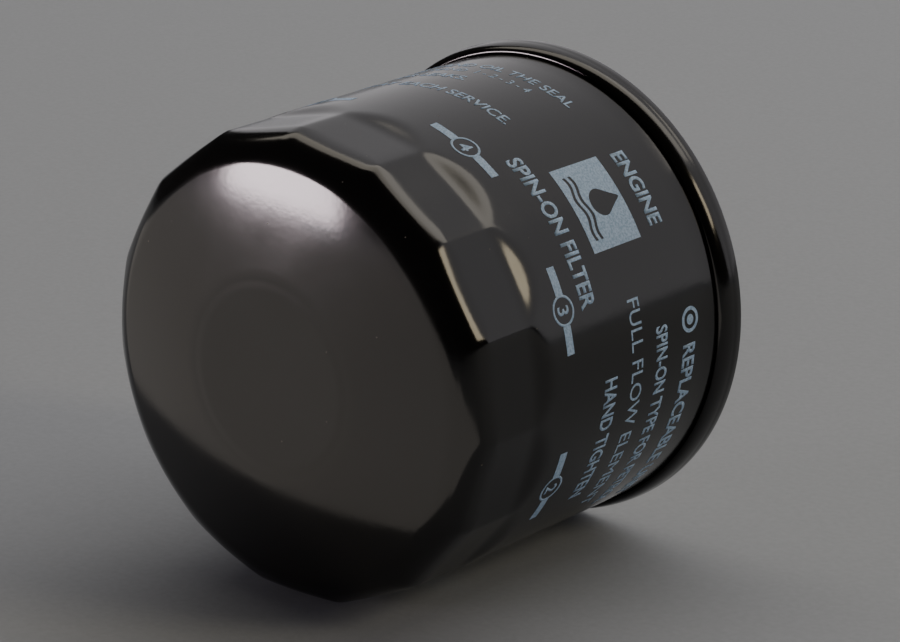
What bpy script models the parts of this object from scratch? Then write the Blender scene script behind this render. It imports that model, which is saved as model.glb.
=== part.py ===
"""Spin-on engine oil filter, lying on its side: a deep-drawn can with wrench flats, a seamed
lid with its gasket, a threaded plate, and the filter element with its valves inside."""

import math

import bmesh
import bpy
from mathutils import Matrix

MM = 0.001
GAP = 0.3 * MM  # clearance between pieces that touch

# Can
CAN_RADIUS = 40.0 * MM
CAN_DEPTH = 71.6 * MM  # from the seam's open face to the dome's middle disc
SHEET = 0.6 * MM
SHOULDER_RADIUS = 7.0 * MM
CROWN_SLOPE = math.radians(11.5)  # where the dome's crown meets the shoulder
DISC_RADIUS = 15.8 * MM
DISC_STEP = 0.25 * MM

# Wrench flats, pressed into the can next to the dome
FLAT_COUNT = 15
FLAT_PHASE = math.radians(18.5)
FLATS_LENGTH = 8.4 * MM  # straight part, towards the seam from the shoulder
RUNOUT_LENGTH = 3.8 * MM

# Rolled seam that holds the lid
SEAM_HEIGHT = 5.4 * MM
SEAM_CORNER = 0.5 * MM
HOOK_LENGTH = 2.1 * MM
COMPOUND_SPACE = 1.0 * MM

# Lid, with the gasket's groove
LID_SHEET = 0.6 * MM
LID_LAND = 4.2 * MM  # from the can's wall to the groove
LAND_DEPTH = 1.5 * MM
GROOVE_DEPTH = 3.6 * MM
BEAD_WIDTH = 3.2 * MM
FLANGE_WIDTH = 2.5 * MM
FLANGE_DEPTH = 4.2 * MM

# Gasket
GASKET_WIDTH = 5.0 * MM
GASKET_PROUD = 1.8 * MM
GASKET_CORNER = 0.5 * MM

# Threaded plate
THREAD_MINOR_RADIUS = 9.188 * MM  # M20 x 1.5
THREAD_CHAMFER = 1.2 * MM
PLATE_THICKNESS = 3.2 * MM
PLATE_EDGE_GAP = 2.9 * MM
NECK_RADIUS = 12.2 * MM
NECK_LENGTH = 6.0 * MM
NECK_FILLET = 0.9 * MM
INLET_COUNT = 8
INLET_RADIUS = 2.8 * MM

# Anti-drainback valve and its keeper
LIP_OVERLAP = 5.4 * MM
LIP_THICKNESS = 1.26 * MM
LIP_TIP = 0.81 * MM
LIP_EDGE_WIDTH = 1.7 * MM  # of the face that seals on the plate
LIP_BACK_WIDTH = 1.4 * MM
HUB_THICKNESS = 1.6 * MM
SKIRT_ROOT = 0.53 * MM  # where the skirt leaves the hub, below the hub's top
HUB_WIDTH = 4.0 * MM
HUB_TOP_WIDTH = 2.1 * MM
KEEPER_THICKNESS = 0.6 * MM
HUB_BELOW_NECK = 0.7 * MM

# Filter element
CAP_SHEET = 0.5 * MM
CAP_FLANGE = 4.2 * MM
ELEMENT_GAP = 4.0 * MM  # between the element and the can's wall
POTTING_THICKNESS = 1.6 * MM
DOME_SPACE = 10.6 * MM  # from the element to the outside of the middle disc
TUBE_SHEET = 0.6 * MM
TUBE_CAGE_GAP = 0.5 * MM  # between the tube and the valve cage inside it
TUBE_POTTING_GAP = 0.9 * MM
TUBE_HOLE_RADIUS = 2.2 * MM
TUBE_HOLE_ROWS = 4
TUBE_HOLE_COLUMNS = 8
TUBE_HOLE_MARGIN = 9.0 * MM
PLEAT_COUNT = 36
PAPER_THICKNESS = 0.7 * MM
PLEAT_INNER_GAP = 1.15 * MM
PLEAT_OUTER_GAP = 1.05 * MM
PLEAT_INNER_FOLD = 1.22 * MM
PLEAT_OUTER_FOLD = 1.64 * MM
CLIP_SHEET = 0.4 * MM
CLIP_DEPTH = 4.4 * MM
CLIP_ROOM = 0.43 * MM

# Bypass valve, in the element's end cap next to the dome
PORT_RADIUS = 7.0 * MM
SEAT_WIDTH = 5.0 * MM
SEAT_THICKNESS = 0.8 * MM
SEAL_OVERLAP = 2.4 * MM
SEAL_HOLE_RADIUS = 5.0 * MM
SEAL_THICKNESS = 1.0 * MM
DISC_THICKNESS = 0.8 * MM
STEM_RADIUS = 1.4 * MM
STEM_LENGTH = 11.5 * MM
CAGE_SHEET = 0.6 * MM
CAGE_HEIGHT = 13.2 * MM
CAGE_FLANGE = 2.0 * MM
CAGE_LEG = 4.0 * MM
WINDOW_MARGIN = 1.8 * MM
PORT_MARGIN = 1.0 * MM  # from the port to the edge of the end cap's hole
BYPASS_COIL_RADIUS = 5.5 * MM
BYPASS_WIRE_RADIUS = 0.4 * MM
BYPASS_TURNS = 4

# Element spring, between the element and the dome
SPRING_TOP_RADIUS = 13.5 * MM
SPRING_FOOT_RADIUS = 19.0 * MM
SPRING_WIRE_RADIUS = 0.8 * MM
SPRING_TURNS = 2

WALL_STEPS = 4 * FLAT_COUNT
SEAM_STEPS = 48
INNER_STEPS = 36
VALVE_STEPS = 24
TURN_POINTS = 12
RUNOUT_POINTS = 3
SHOULDER_POINTS = 5
CROWN_POINTS = 3
INLET_SIDES = 12
TUBE_HOLE_SIDES = 6

CAN_INNER_RADIUS = CAN_RADIUS - SHEET
CROWN_RADIUS = CAN_RADIUS - SHOULDER_RADIUS * (1 - math.sin(CROWN_SLOPE))
CROWN_RISE = math.tan(CROWN_SLOPE) / (2 * CROWN_RADIUS) * (CROWN_RADIUS**2 - DISC_RADIUS**2)
CROWN_DEPTH = CAN_DEPTH - DISC_STEP - CROWN_RISE
SHOULDER_START = CROWN_DEPTH - SHOULDER_RADIUS * math.cos(CROWN_SLOPE)
RUNOUT_START = SHOULDER_START - FLATS_LENGTH - RUNOUT_LENGTH
HOOK_INNER_RADIUS = CAN_RADIUS + GAP
HOOK_OUTER_RADIUS = HOOK_INNER_RADIUS + SHEET
SEAM_RADIUS = HOOK_OUTER_RADIUS + GAP + LID_SHEET
FOLD_DEPTH = LID_SHEET + COMPOUND_SPACE + SHEET
CHUCK_RADIUS = CAN_INNER_RADIUS - GAP - LID_SHEET
GASKET_OUTER_RADIUS = CAN_RADIUS - LID_LAND - GAP
GASKET_INNER_RADIUS = GASKET_OUTER_RADIUS - GASKET_WIDTH
GROOVE_OUTER_RADIUS = GASKET_OUTER_RADIUS + GAP
GROOVE_INNER_RADIUS = GASKET_INNER_RADIUS - GAP
BEAD_RADIUS = GROOVE_INNER_RADIUS - BEAD_WIDTH
FLANGE_RADIUS = BEAD_RADIUS - FLANGE_WIDTH
PLATE_TOP = FLANGE_DEPTH + LID_SHEET + GAP
PLATE_BASE = PLATE_TOP + PLATE_THICKNESS
NECK_BASE = PLATE_BASE + NECK_LENGTH
INLET_CIRCLE = (NECK_RADIUS + FLANGE_RADIUS) / 2
HUB_BASE = NECK_BASE + HUB_BELOW_NECK
HUB_TOP = HUB_BASE - HUB_THICKNESS
ELEMENT_TOP = HUB_BASE + GAP
ELEMENT_BASE = CAN_DEPTH - DOME_SPACE
ELEMENT_RADIUS = CAN_INNER_RADIUS - ELEMENT_GAP
POTTING_TOP = ELEMENT_TOP + CAP_SHEET + GAP
POTTING_BASE = ELEMENT_BASE - CAP_SHEET - GAP
PAPER_TOP = POTTING_TOP + POTTING_THICKNESS + GAP
PAPER_BASE = POTTING_BASE - POTTING_THICKNESS - GAP
SEAL_RADIUS = PORT_RADIUS + SEAL_OVERLAP
CAGE_RADIUS = PORT_RADIUS + SEAT_WIDTH + GAP + CAGE_SHEET
TUBE_RADIUS = CAGE_RADIUS + CAGE_FLANGE + TUBE_CAGE_GAP + TUBE_SHEET
PLEAT_INNER_RADIUS = TUBE_RADIUS + PLEAT_INNER_GAP + PAPER_THICKNESS / 2
PLEAT_OUTER_RADIUS = ELEMENT_RADIUS - CAP_SHEET - PLEAT_OUTER_GAP - PAPER_THICKNESS / 2
SEAT_TOP = POTTING_BASE - SEAT_THICKNESS
SEAL_TOP = SEAT_TOP - GAP - SEAL_THICKNESS
DISC_TOP = SEAL_TOP - GAP - DISC_THICKNESS
CAGE_TOP = POTTING_BASE - CAGE_HEIGHT
TOTAL_LENGTH = CAN_DEPTH + GASKET_PROUD
AXIS_HEIGHT = SEAM_RADIUS * math.cos(math.pi / SEAM_STEPS)  # the seam's lowest facet is at z = 0
OPEN_FACE = TOTAL_LENGTH / 2 - GASKET_PROUD  # the seam's open face, along the axis


def clear_scene():
    for obj in list(bpy.data.objects):
        bpy.data.objects.remove(obj, do_unlink=True)


def new_collection(name):
    collection = bpy.data.collections.new(name)
    bpy.context.scene.collection.children.link(collection)
    return collection


def new_axis():
    """The filter's own axis: +Z of the pieces points out of the open end, along the world's +Y."""
    axis = bpy.data.objects.new("filter_axis", None)
    axis.location = (0, OPEN_FACE, AXIS_HEIGHT)
    axis.rotation_euler = (-math.pi / 2, 0, 0)
    bpy.context.scene.collection.objects.link(axis)
    return axis


def linear(channel):
    return channel / 12.92 if channel <= 0.04045 else ((channel + 0.055) / 1.055) ** 2.4


def new_material(name, colour, roughness, metallic):
    material = bpy.data.materials.new(name)
    material.use_nodes = True
    shader = material.node_tree.nodes["Principled BSDF"]
    rgb = [linear(int(colour[i : i + 2], 16) / 255) for i in (1, 3, 5)]
    shader.inputs["Base Color"].default_value = (*rgb, 1)
    shader.inputs["Roughness"].default_value = roughness
    shader.inputs["Metallic"].default_value = metallic
    return material


def new_part(name, data):
    obj = bpy.data.objects.new(name, data)
    parts.objects.link(obj)
    return obj


def place(obj, material):
    """Puts a finished object on the filter's axis, with its own material."""
    obj.parent = filter_axis
    finish = new_material(obj.name, *material)
    obj.data.materials.clear()
    obj.data.materials.append(finish)
    return obj


def shade_smooth(mesh):
    mesh.shade_smooth()
    mesh.set_sharp_from_angle(angle=math.radians(40))


def bake(obj):
    """Replaces the object's modifiers with the mesh they make."""
    depsgraph = bpy.context.evaluated_depsgraph_get()
    depsgraph.update()
    mesh = bpy.data.meshes.new_from_object(obj.evaluated_get(depsgraph))
    obj.modifiers.clear()
    obj.data = mesh
    return obj


def turned(name, profile, steps, closed=True):
    """Turns a profile of (radius, depth) points round the filter's axis.
    The profile runs down its outer side, and a closed one comes back up its inner side."""
    points = [(radius, 0, -depth) for radius, depth in profile]
    edges = [(i, i + 1) for i in range(len(points) - 1)]
    if closed and profile[0][0] > 0:
        edges.append((len(points) - 1, 0))
    mesh = bpy.data.meshes.new(name)
    mesh.from_pydata(points, edges, [])
    obj = new_part(name, mesh)
    screw = obj.modifiers.new("Turn", "SCREW")
    screw.steps = steps
    screw.render_steps = steps
    screw.use_merge_vertices = True
    screw.merge_threshold = 0.00001
    screw.use_smooth_shade = True
    return obj


def shelled(obj, thickness):
    """Gives an open surface its wall, inwards from its outer face."""
    solidify = obj.modifiers.new("Wall", "SOLIDIFY")
    solidify.thickness = thickness
    solidify.offset = -1
    solidify.use_even_offset = True
    solidify.use_quality_normals = True
    return obj


def ring(name, inner, outer, top, base, steps):
    """A plain ring between two radii and two depths."""
    return turned(name, [(inner, top), (outer, top), (outer, base), (inner, base)], steps)


def arc(centre_radius, centre_depth, radius, start, end, count):
    """Points along a round corner, with angles from the direction away from the axis."""
    angles = [start + (end - start) * i / count for i in range(count + 1)]
    return [
        (centre_radius + radius * math.cos(a), centre_depth + radius * math.sin(a)) for a in angles
    ]


def cut(obj, cutter):
    boolean = obj.modifiers.new("Cut", "BOOLEAN")
    boolean.operation = "DIFFERENCE"
    boolean.object = cutter
    return obj


def new_cutter(name, mesh):
    cutter = bpy.data.objects.new(name, mesh)
    cutters.objects.link(cutter)
    cutter.parent = filter_axis
    cutter.display_type = "WIRE"
    cutter.hide_render = True
    return cutter


def cylinder_cutter(name, places, radius, length, sides):
    """One cutter with a cylinder at each of these places."""
    bm = bmesh.new()
    for matrix in places:
        bmesh.ops.create_cone(
            bm, cap_ends=True, segments=sides, radius1=radius, radius2=radius, depth=length, matrix=matrix
        )
    mesh = bpy.data.meshes.new(name)
    bm.to_mesh(mesh)
    bm.free()
    return new_cutter(name, mesh)


def coil(name, wire_radius, radii, depths, turns):
    """A round-wire spring from the first radius and depth to the second."""
    count = turns * TURN_POINTS
    curve = bpy.data.curves.new(name, "CURVE")
    curve.dimensions = "3D"
    curve.bevel_depth = wire_radius
    curve.bevel_resolution = 2
    curve.use_fill_caps = True
    spline = curve.splines.new("POLY")
    spline.points.add(count)
    for i, point in enumerate(spline.points):
        share = i / count
        angle = math.tau * turns * share
        radius = radii[0] + (radii[1] - radii[0]) * share
        depth = depths[0] + (depths[1] - depths[0]) * share
        point.co = (radius * math.cos(angle), radius * math.sin(angle), -depth, 1)
    return new_part(name, curve)


def crown_depth(radius):
    """Depth of the dome's crown, a shallow paraboloid, outside its middle disc."""
    return CROWN_DEPTH + CROWN_RISE * (CROWN_RADIUS**2 - radius**2) / (CROWN_RADIUS**2 - DISC_RADIUS**2)


def flat_radius(angle, depth):
    """Radius of the pressed flats at this angle and depth. Their ridges lie on the can's wall."""
    half = math.pi / FLAT_COUNT
    across = angle % (2 * half) - half
    flat = CAN_RADIUS * math.cos(half) / math.cos(across)
    share = min(max((depth - RUNOUT_START) / RUNOUT_LENGTH, 0), 1)
    return CAN_RADIUS + (flat - CAN_RADIUS) * share * share * (3 - 2 * share)


def press_flats(mesh):
    for vertex in mesh.vertices:
        radius = math.hypot(vertex.co.x, vertex.co.y)
        depth = -vertex.co.z
        if depth < SEAM_HEIGHT or radius == 0:
            continue
        limit = flat_radius(math.atan2(vertex.co.y, vertex.co.x), depth)
        if radius > limit:
            vertex.co.x *= limit / radius
            vertex.co.y *= limit / radius


def make_can():
    """Hook under the seam, wall, shoulder, crown and middle disc, along the painted face."""
    fold = GAP / 3
    profile = [(HOOK_INNER_RADIUS, FOLD_DEPTH + HOOK_LENGTH), (HOOK_INNER_RADIUS, FOLD_DEPTH + fold)]
    profile += [(HOOK_INNER_RADIUS - fold, FOLD_DEPTH), (CAN_RADIUS + fold, FOLD_DEPTH)]
    profile += [(CAN_RADIUS, FOLD_DEPTH + fold)]
    runout = [RUNOUT_START + RUNOUT_LENGTH * i / RUNOUT_POINTS for i in range(RUNOUT_POINTS + 1)]
    profile += [(CAN_RADIUS, depth) for depth in runout]
    centre = CAN_RADIUS - SHOULDER_RADIUS
    end = math.pi / 2 - CROWN_SLOPE
    profile += arc(centre, SHOULDER_START, SHOULDER_RADIUS, 0, end, SHOULDER_POINTS)
    for i in range(1, CROWN_POINTS + 1):
        radius = CROWN_RADIUS + (DISC_RADIUS - CROWN_RADIUS) * i / CROWN_POINTS
        profile.append((radius, crown_depth(radius)))
    profile += [(DISC_RADIUS - 2 * DISC_STEP, CAN_DEPTH), (0, CAN_DEPTH)]
    can = bake(turned("can", profile, WALL_STEPS, closed=False))
    press_flats(can.data)
    shelled(can, SHEET)
    shade_smooth(can.data)
    place(can, ("#0d0d0d", 0.12, 0.0))
    can.rotation_euler.z = -FLAT_PHASE


def make_seam_sealant():
    inner = CAN_RADIUS - GAP
    outer = HOOK_OUTER_RADIUS - GAP
    top = LID_SHEET + COMPOUND_SPACE / 4
    base = LID_SHEET + COMPOUND_SPACE * 3 / 4
    place(ring("seam_sealant", inner, outer, top, base, SEAM_STEPS), ("#3c4a3a", 0.6, 0.0))


def make_seaming_lid():
    """From the flange on the threaded plate, over the bead, groove and land, to the rolled seam."""
    corner = SEAM_CORNER
    bead_top = LAND_DEPTH + GAP
    profile = [(FLANGE_RADIUS, FLANGE_DEPTH), (BEAD_RADIUS, FLANGE_DEPTH)]
    profile += [(BEAD_RADIUS + corner, bead_top + corner), (BEAD_RADIUS + 2 * corner, bead_top)]
    profile += [(GROOVE_INNER_RADIUS - corner, bead_top), (GROOVE_INNER_RADIUS, bead_top + corner)]
    profile += [(GROOVE_INNER_RADIUS, GROOVE_DEPTH), (GROOVE_OUTER_RADIUS, GROOVE_DEPTH)]
    profile += [(GROOVE_OUTER_RADIUS, LAND_DEPTH + corner), (GROOVE_OUTER_RADIUS + corner, LAND_DEPTH)]
    profile += [(CHUCK_RADIUS - corner, LAND_DEPTH), (CHUCK_RADIUS, LAND_DEPTH - corner)]
    profile += [(CHUCK_RADIUS, corner), (CHUCK_RADIUS + corner, 0)]
    profile += [(SEAM_RADIUS - corner, 0), (SEAM_RADIUS, corner)]
    profile += [(SEAM_RADIUS, SEAM_HEIGHT - corner), (SEAM_RADIUS - corner, SEAM_HEIGHT)]
    profile += [(CAN_RADIUS + GAP, SEAM_HEIGHT)]
    lid = bake(turned("seaming_lid", profile, SEAM_STEPS, closed=False))
    shelled(lid, LID_SHEET)
    shade_smooth(lid.data)
    place(lid, ("#0d0d0d", 0.14, 0.0))
    lid.rotation_euler.z = math.pi / SEAM_STEPS


def make_sealing_gasket():
    corner = GASKET_CORNER
    top = -GASKET_PROUD
    base = GROOVE_DEPTH - GAP
    profile = [(GASKET_INNER_RADIUS + corner, top), (GASKET_OUTER_RADIUS - corner, top)]
    profile += [(GASKET_OUTER_RADIUS, top + corner), (GASKET_OUTER_RADIUS, base - corner)]
    profile += [(GASKET_OUTER_RADIUS - corner, base), (GASKET_INNER_RADIUS + corner, base)]
    profile += [(GASKET_INNER_RADIUS, base - corner), (GASKET_INNER_RADIUS, top + corner)]
    gasket = place(turned("sealing_gasket", profile, SEAM_STEPS), ("#1a1a1a", 0.55, 0.0))
    gasket.rotation_euler.z = math.pi / SEAM_STEPS


def make_tapping_plate():
    """Thick disc with a drawn neck for the thread, and a ring of inlet holes."""
    outer = CAN_INNER_RADIUS - PLATE_EDGE_GAP
    profile = [(THREAD_MINOR_RADIUS + THREAD_CHAMFER, PLATE_TOP), (outer, PLATE_TOP)]
    profile += [(outer, PLATE_BASE), (NECK_RADIUS + NECK_FILLET, PLATE_BASE)]
    profile += [(NECK_RADIUS, PLATE_BASE + NECK_FILLET), (NECK_RADIUS, NECK_BASE)]
    profile += [(THREAD_MINOR_RADIUS, NECK_BASE), (THREAD_MINOR_RADIUS, PLATE_TOP + THREAD_CHAMFER)]
    plate = turned("tapping_plate", profile, INNER_STEPS)
    middle = Matrix.Translation((0, 0, -(PLATE_TOP + PLATE_BASE) / 2))
    spots = [Matrix.Rotation(math.tau * i / INLET_COUNT, 4, "Z") for i in range(INLET_COUNT)]
    places = [middle @ spot @ Matrix.Translation((INLET_CIRCLE, 0, 0)) for spot in spots]
    cutter = cylinder_cutter("inlet_cutter", places, INLET_RADIUS, 2 * PLATE_THICKNESS, INLET_SIDES)
    cut(plate, cutter)
    place(plate, ("#8d8a80", 0.35, 1.0))


def make_drainback_valve():
    """Rubber hub round the neck, with a thin skirt whose lip closes the inlet holes."""
    inner = NECK_RADIUS + GAP
    lip = INLET_CIRCLE + INLET_RADIUS + LIP_OVERLAP
    lip_top = PLATE_BASE + GAP
    profile = [(inner, HUB_TOP), (inner + HUB_TOP_WIDTH, HUB_TOP)]
    profile += [(lip - LIP_EDGE_WIDTH, lip_top + GAP / 2), (lip - GAP / 3, lip_top)]
    profile += [(lip, lip_top + LIP_TIP), (lip - LIP_BACK_WIDTH, lip_top + LIP_THICKNESS)]
    profile += [(inner + HUB_WIDTH, HUB_TOP + SKIRT_ROOT), (inner + HUB_WIDTH, HUB_BASE)]
    profile += [(inner, HUB_BASE)]
    place(turned("drainback_valve", profile, INNER_STEPS), ("#a5502a", 0.5, 0.0))


def make_valve_keeper():
    inner = NECK_RADIUS + GAP
    outer = inner + HUB_TOP_WIDTH - GAP
    base = HUB_TOP - GAP
    keeper = ring("valve_keeper", inner, outer, base - KEEPER_THICKNESS, base, INNER_STEPS)
    place(keeper, ("#9c9c98", 0.3, 1.0))


def make_end_cap(name, depth, side, hole):
    """Sheet cup on one end of the element. side is 1 towards the open end and -1 towards the dome."""
    corner = CAP_SHEET
    profile = [(hole, depth), (ELEMENT_RADIUS - corner, depth)]
    profile += [(ELEMENT_RADIUS, depth + side * corner), (ELEMENT_RADIUS, depth + side * CAP_FLANGE)]
    if side < 0:
        profile.reverse()
    cap = bake(turned(name, profile, INNER_STEPS, closed=False))
    shelled(cap, CAP_SHEET)
    shade_smooth(cap.data)
    place(cap, ("#b3b0a6", 0.35, 1.0))


def make_potting(name, top):
    outer = ELEMENT_RADIUS - CAP_SHEET - GAP
    inner = TUBE_RADIUS + TUBE_POTTING_GAP
    place(ring(name, inner, outer, top, top + POTTING_THICKNESS, INNER_STEPS), ("#7c5a3a", 0.5, 0.0))


def make_centre_tube():
    """Sheet tube with rows of holes."""
    top = ELEMENT_TOP + CAP_SHEET + GAP
    base = POTTING_BASE
    outline = [(TUBE_RADIUS, top), (TUBE_RADIUS, base)]
    tube = shelled(bake(turned("centre_tube", outline, VALVE_STEPS, closed=False)), TUBE_SHEET)
    first = top + TUBE_HOLE_MARGIN
    pitch = (base - top - 2 * TUBE_HOLE_MARGIN) / (TUBE_HOLE_ROWS - 1)
    places = []
    for row in range(TUBE_HOLE_ROWS):
        for column in range(TUBE_HOLE_COLUMNS):
            angle = math.tau * (column + row % 2 / 2) / TUBE_HOLE_COLUMNS
            turn = Matrix.Rotation(angle, 4, "Z") @ Matrix.Rotation(math.pi / 2, 4, "Y")
            spot = (TUBE_RADIUS * math.cos(angle), TUBE_RADIUS * math.sin(angle), -(first + pitch * row))
            places.append(Matrix.Translation(spot) @ turn)
    reach = 6 * TUBE_SHEET
    cut(tube, cylinder_cutter("tube_hole_cutter", places, TUBE_HOLE_RADIUS, reach, TUBE_HOLE_SIDES))
    place(tube, ("#a8a59c", 0.4, 1.0))


def pleat_path():
    """One open line round the element, folding in and out, with its ends at the clip."""
    pitch = math.tau / PLEAT_COUNT
    outer = PLEAT_OUTER_FOLD / PLEAT_OUTER_RADIUS / 2
    inner = PLEAT_INNER_FOLD / PLEAT_INNER_RADIUS / 2
    points = []
    for k in range(PLEAT_COUNT):
        start = k * pitch
        for radius, angle in (
            (PLEAT_OUTER_RADIUS, start + outer),
            (PLEAT_INNER_RADIUS, start + pitch / 2 - inner),
            (PLEAT_INNER_RADIUS, start + pitch / 2 + inner),
            (PLEAT_OUTER_RADIUS, start + pitch - outer),
        ):
            points.append((radius * math.cos(angle), radius * math.sin(angle), 0))
    return points


def make_filter_media():
    """Pleated paper: the folded line, drawn out along the axis and given the paper's thickness."""
    points = pleat_path()
    mesh = bpy.data.meshes.new("filter_media")
    mesh.from_pydata(points, [(i, i + 1) for i in range(len(points) - 1)], [])
    media = new_part("filter_media", mesh)
    draw = media.modifiers.new("Draw out", "SCREW")
    draw.angle = 0
    draw.screw_offset = PAPER_TOP - PAPER_BASE
    draw.steps = 1
    draw.render_steps = 1
    shelled(media, PAPER_THICKNESS).modifiers["Wall"].offset = 0
    place(media, ("#c98a4b", 0.9, 0.0))
    media.location.z = -PAPER_TOP


def make_pleat_clip():
    """Channel of thin sheet that grips the two ends of the paper."""
    half_inner = PLEAT_OUTER_FOLD / 2 + PAPER_THICKNESS / 2 + CLIP_ROOM
    half_outer = half_inner + CLIP_SHEET
    back_inner = PLEAT_OUTER_RADIUS + PAPER_THICKNESS / 2 + GAP / 3
    back_outer = back_inner + CLIP_SHEET
    mouth = back_inner - CLIP_DEPTH
    outline = [(mouth, -half_outer), (back_outer, -half_outer), (back_outer, half_outer)]
    outline += [(mouth, half_outer), (mouth, half_inner), (back_inner, half_inner)]
    outline += [(back_inner, -half_inner), (mouth, -half_inner)]
    curve = bpy.data.curves.new("pleat_clip", "CURVE")
    curve.dimensions = "2D"
    curve.fill_mode = "BOTH"
    top = ELEMENT_TOP + CAP_FLANGE + 2 * GAP
    base = ELEMENT_BASE - CAP_FLANGE - 2 * GAP
    curve.extrude = (base - top) / 2
    spline = curve.splines.new("POLY")
    spline.points.add(len(outline) - 1)
    for point, place_xy in zip(spline.points, outline):
        point.co = (*place_xy, 0, 1)
    spline.use_cyclic_u = True
    clip = place(new_part("pleat_clip", curve), ("#b8b6ae", 0.35, 1.0))
    clip.location.z = -(top + base) / 2


def make_bypass_seat():
    seat = ring("bypass_seat", PORT_RADIUS, PORT_RADIUS + SEAT_WIDTH, SEAT_TOP, POTTING_BASE, VALVE_STEPS)
    place(seat, ("#b7b4aa", 0.3, 1.0))


def make_bypass_seal():
    base = SEAT_TOP - GAP
    seal = ring("bypass_seal", SEAL_HOLE_RADIUS, SEAL_RADIUS, SEAL_TOP, base, VALVE_STEPS)
    place(seal, ("#2a2a2a", 0.6, 0.0))


def make_bypass_disc():
    """Valve disc with a boss through the seal and a guide stem towards the cage."""
    boss = SEAL_HOLE_RADIUS - GAP
    disc_base = DISC_TOP + DISC_THICKNESS
    profile = [(0, DISC_TOP - STEM_LENGTH), (STEM_RADIUS, DISC_TOP - STEM_LENGTH)]
    profile += [(STEM_RADIUS, DISC_TOP), (SEAL_RADIUS - GAP, DISC_TOP)]
    profile += [(SEAL_RADIUS - GAP, disc_base), (boss, disc_base)]
    profile += [(boss, SEAT_TOP - GAP / 2), (0, SEAT_TOP - GAP / 2)]
    place(turned("bypass_disc", profile, VALVE_STEPS), ("#aeb0ae", 0.25, 1.0))


def make_bypass_cage():
    """Bridge over the valve: a cup with a guide hole, cut into four legs on a flange."""
    base = POTTING_BASE - CAGE_SHEET
    corner = CAGE_SHEET
    profile = [(STEM_RADIUS + GAP, CAGE_TOP), (CAGE_RADIUS - corner, CAGE_TOP)]
    profile += [(CAGE_RADIUS, CAGE_TOP + corner), (CAGE_RADIUS, base), (CAGE_RADIUS + CAGE_FLANGE, base)]
    cage = shelled(bake(turned("bypass_cage", profile, VALVE_STEPS, closed=False)), CAGE_SHEET)
    window_top = CAGE_TOP + WINDOW_MARGIN
    window_base = base - WINDOW_MARGIN
    window = (2 * CAGE_RADIUS - 2 * CAGE_LEG) / math.sqrt(2)
    bm = bmesh.new()
    height = window_base - window_top
    middle = Matrix.Translation((0, 0, -(window_top + window_base) / 2))
    for quarter in range(4):
        turn = Matrix.Rotation(quarter * math.pi / 2, 4, "Z")
        outwards = Matrix.Translation((CAGE_RADIUS, 0, 0))
        shape = Matrix.Diagonal((CAGE_RADIUS, window, height, 1))
        bmesh.ops.create_cube(bm, size=1, matrix=turn @ middle @ outwards @ shape)
    mesh = bpy.data.meshes.new("window_cutter")
    bm.to_mesh(mesh)
    bm.free()
    cut(cage, new_cutter("window_cutter", mesh))
    place(cage, ("#a3a199", 0.35, 1.0))


def make_bypass_spring():
    top = CAGE_TOP + CAGE_SHEET + GAP + BYPASS_WIRE_RADIUS
    base = DISC_TOP - GAP - BYPASS_WIRE_RADIUS
    radii = (BYPASS_COIL_RADIUS, BYPASS_COIL_RADIUS)
    spring = coil("bypass_spring", BYPASS_WIRE_RADIUS, radii, (top, base), BYPASS_TURNS)
    place(spring, ("#8f9296", 0.3, 1.0))


def make_element_spring():
    """Conical coil that stands on the inside of the dome and holds the element against the plate."""
    top = ELEMENT_BASE + GAP + SPRING_WIRE_RADIUS
    foot = crown_depth(SPRING_FOOT_RADIUS + SPRING_WIRE_RADIUS) - SHEET - GAP - SPRING_WIRE_RADIUS
    radii = (SPRING_TOP_RADIUS, SPRING_FOOT_RADIUS)
    spring = coil("element_spring", SPRING_WIRE_RADIUS, radii, (top, foot), SPRING_TURNS)
    place(spring, ("#85888c", 0.35, 1.0))


clear_scene()
parts = new_collection("oil_filter")
cutters = new_collection("cutters")
filter_axis = new_axis()

make_can()
make_seam_sealant()
make_seaming_lid()
make_sealing_gasket()
make_tapping_plate()
make_drainback_valve()
make_valve_keeper()
make_end_cap("lower_end_cap", ELEMENT_TOP, 1, NECK_RADIUS + 2 * GAP)
make_end_cap("upper_end_cap", ELEMENT_BASE, -1, PORT_RADIUS + PORT_MARGIN)
make_potting("lower_potting", POTTING_TOP)
make_potting("upper_potting", POTTING_BASE - POTTING_THICKNESS)
make_centre_tube()
make_filter_media()
make_pleat_clip()
make_bypass_seat()
make_bypass_seal()
make_bypass_disc()
make_bypass_cage()
make_bypass_spring()
make_element_spring()
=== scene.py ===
import math
from functools import partial

import bmesh
import bpy
from mathutils import Matrix, Vector


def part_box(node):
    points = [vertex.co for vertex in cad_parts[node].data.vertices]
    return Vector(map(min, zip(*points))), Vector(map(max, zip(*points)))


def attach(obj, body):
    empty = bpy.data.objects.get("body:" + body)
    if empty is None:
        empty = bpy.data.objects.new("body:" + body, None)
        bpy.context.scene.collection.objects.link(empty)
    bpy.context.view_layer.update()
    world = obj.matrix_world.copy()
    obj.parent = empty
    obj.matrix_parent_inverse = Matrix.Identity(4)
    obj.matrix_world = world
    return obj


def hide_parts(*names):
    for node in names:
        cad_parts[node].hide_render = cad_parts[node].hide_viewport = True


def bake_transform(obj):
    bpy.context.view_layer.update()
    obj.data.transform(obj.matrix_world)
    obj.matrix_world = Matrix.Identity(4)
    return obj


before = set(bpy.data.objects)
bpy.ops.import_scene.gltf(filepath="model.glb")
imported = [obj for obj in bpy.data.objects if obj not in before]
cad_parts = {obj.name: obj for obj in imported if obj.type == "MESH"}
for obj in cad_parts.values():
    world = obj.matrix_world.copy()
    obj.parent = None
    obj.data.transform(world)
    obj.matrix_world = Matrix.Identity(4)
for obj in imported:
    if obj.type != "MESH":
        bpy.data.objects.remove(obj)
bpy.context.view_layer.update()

mm = 0.001

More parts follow.
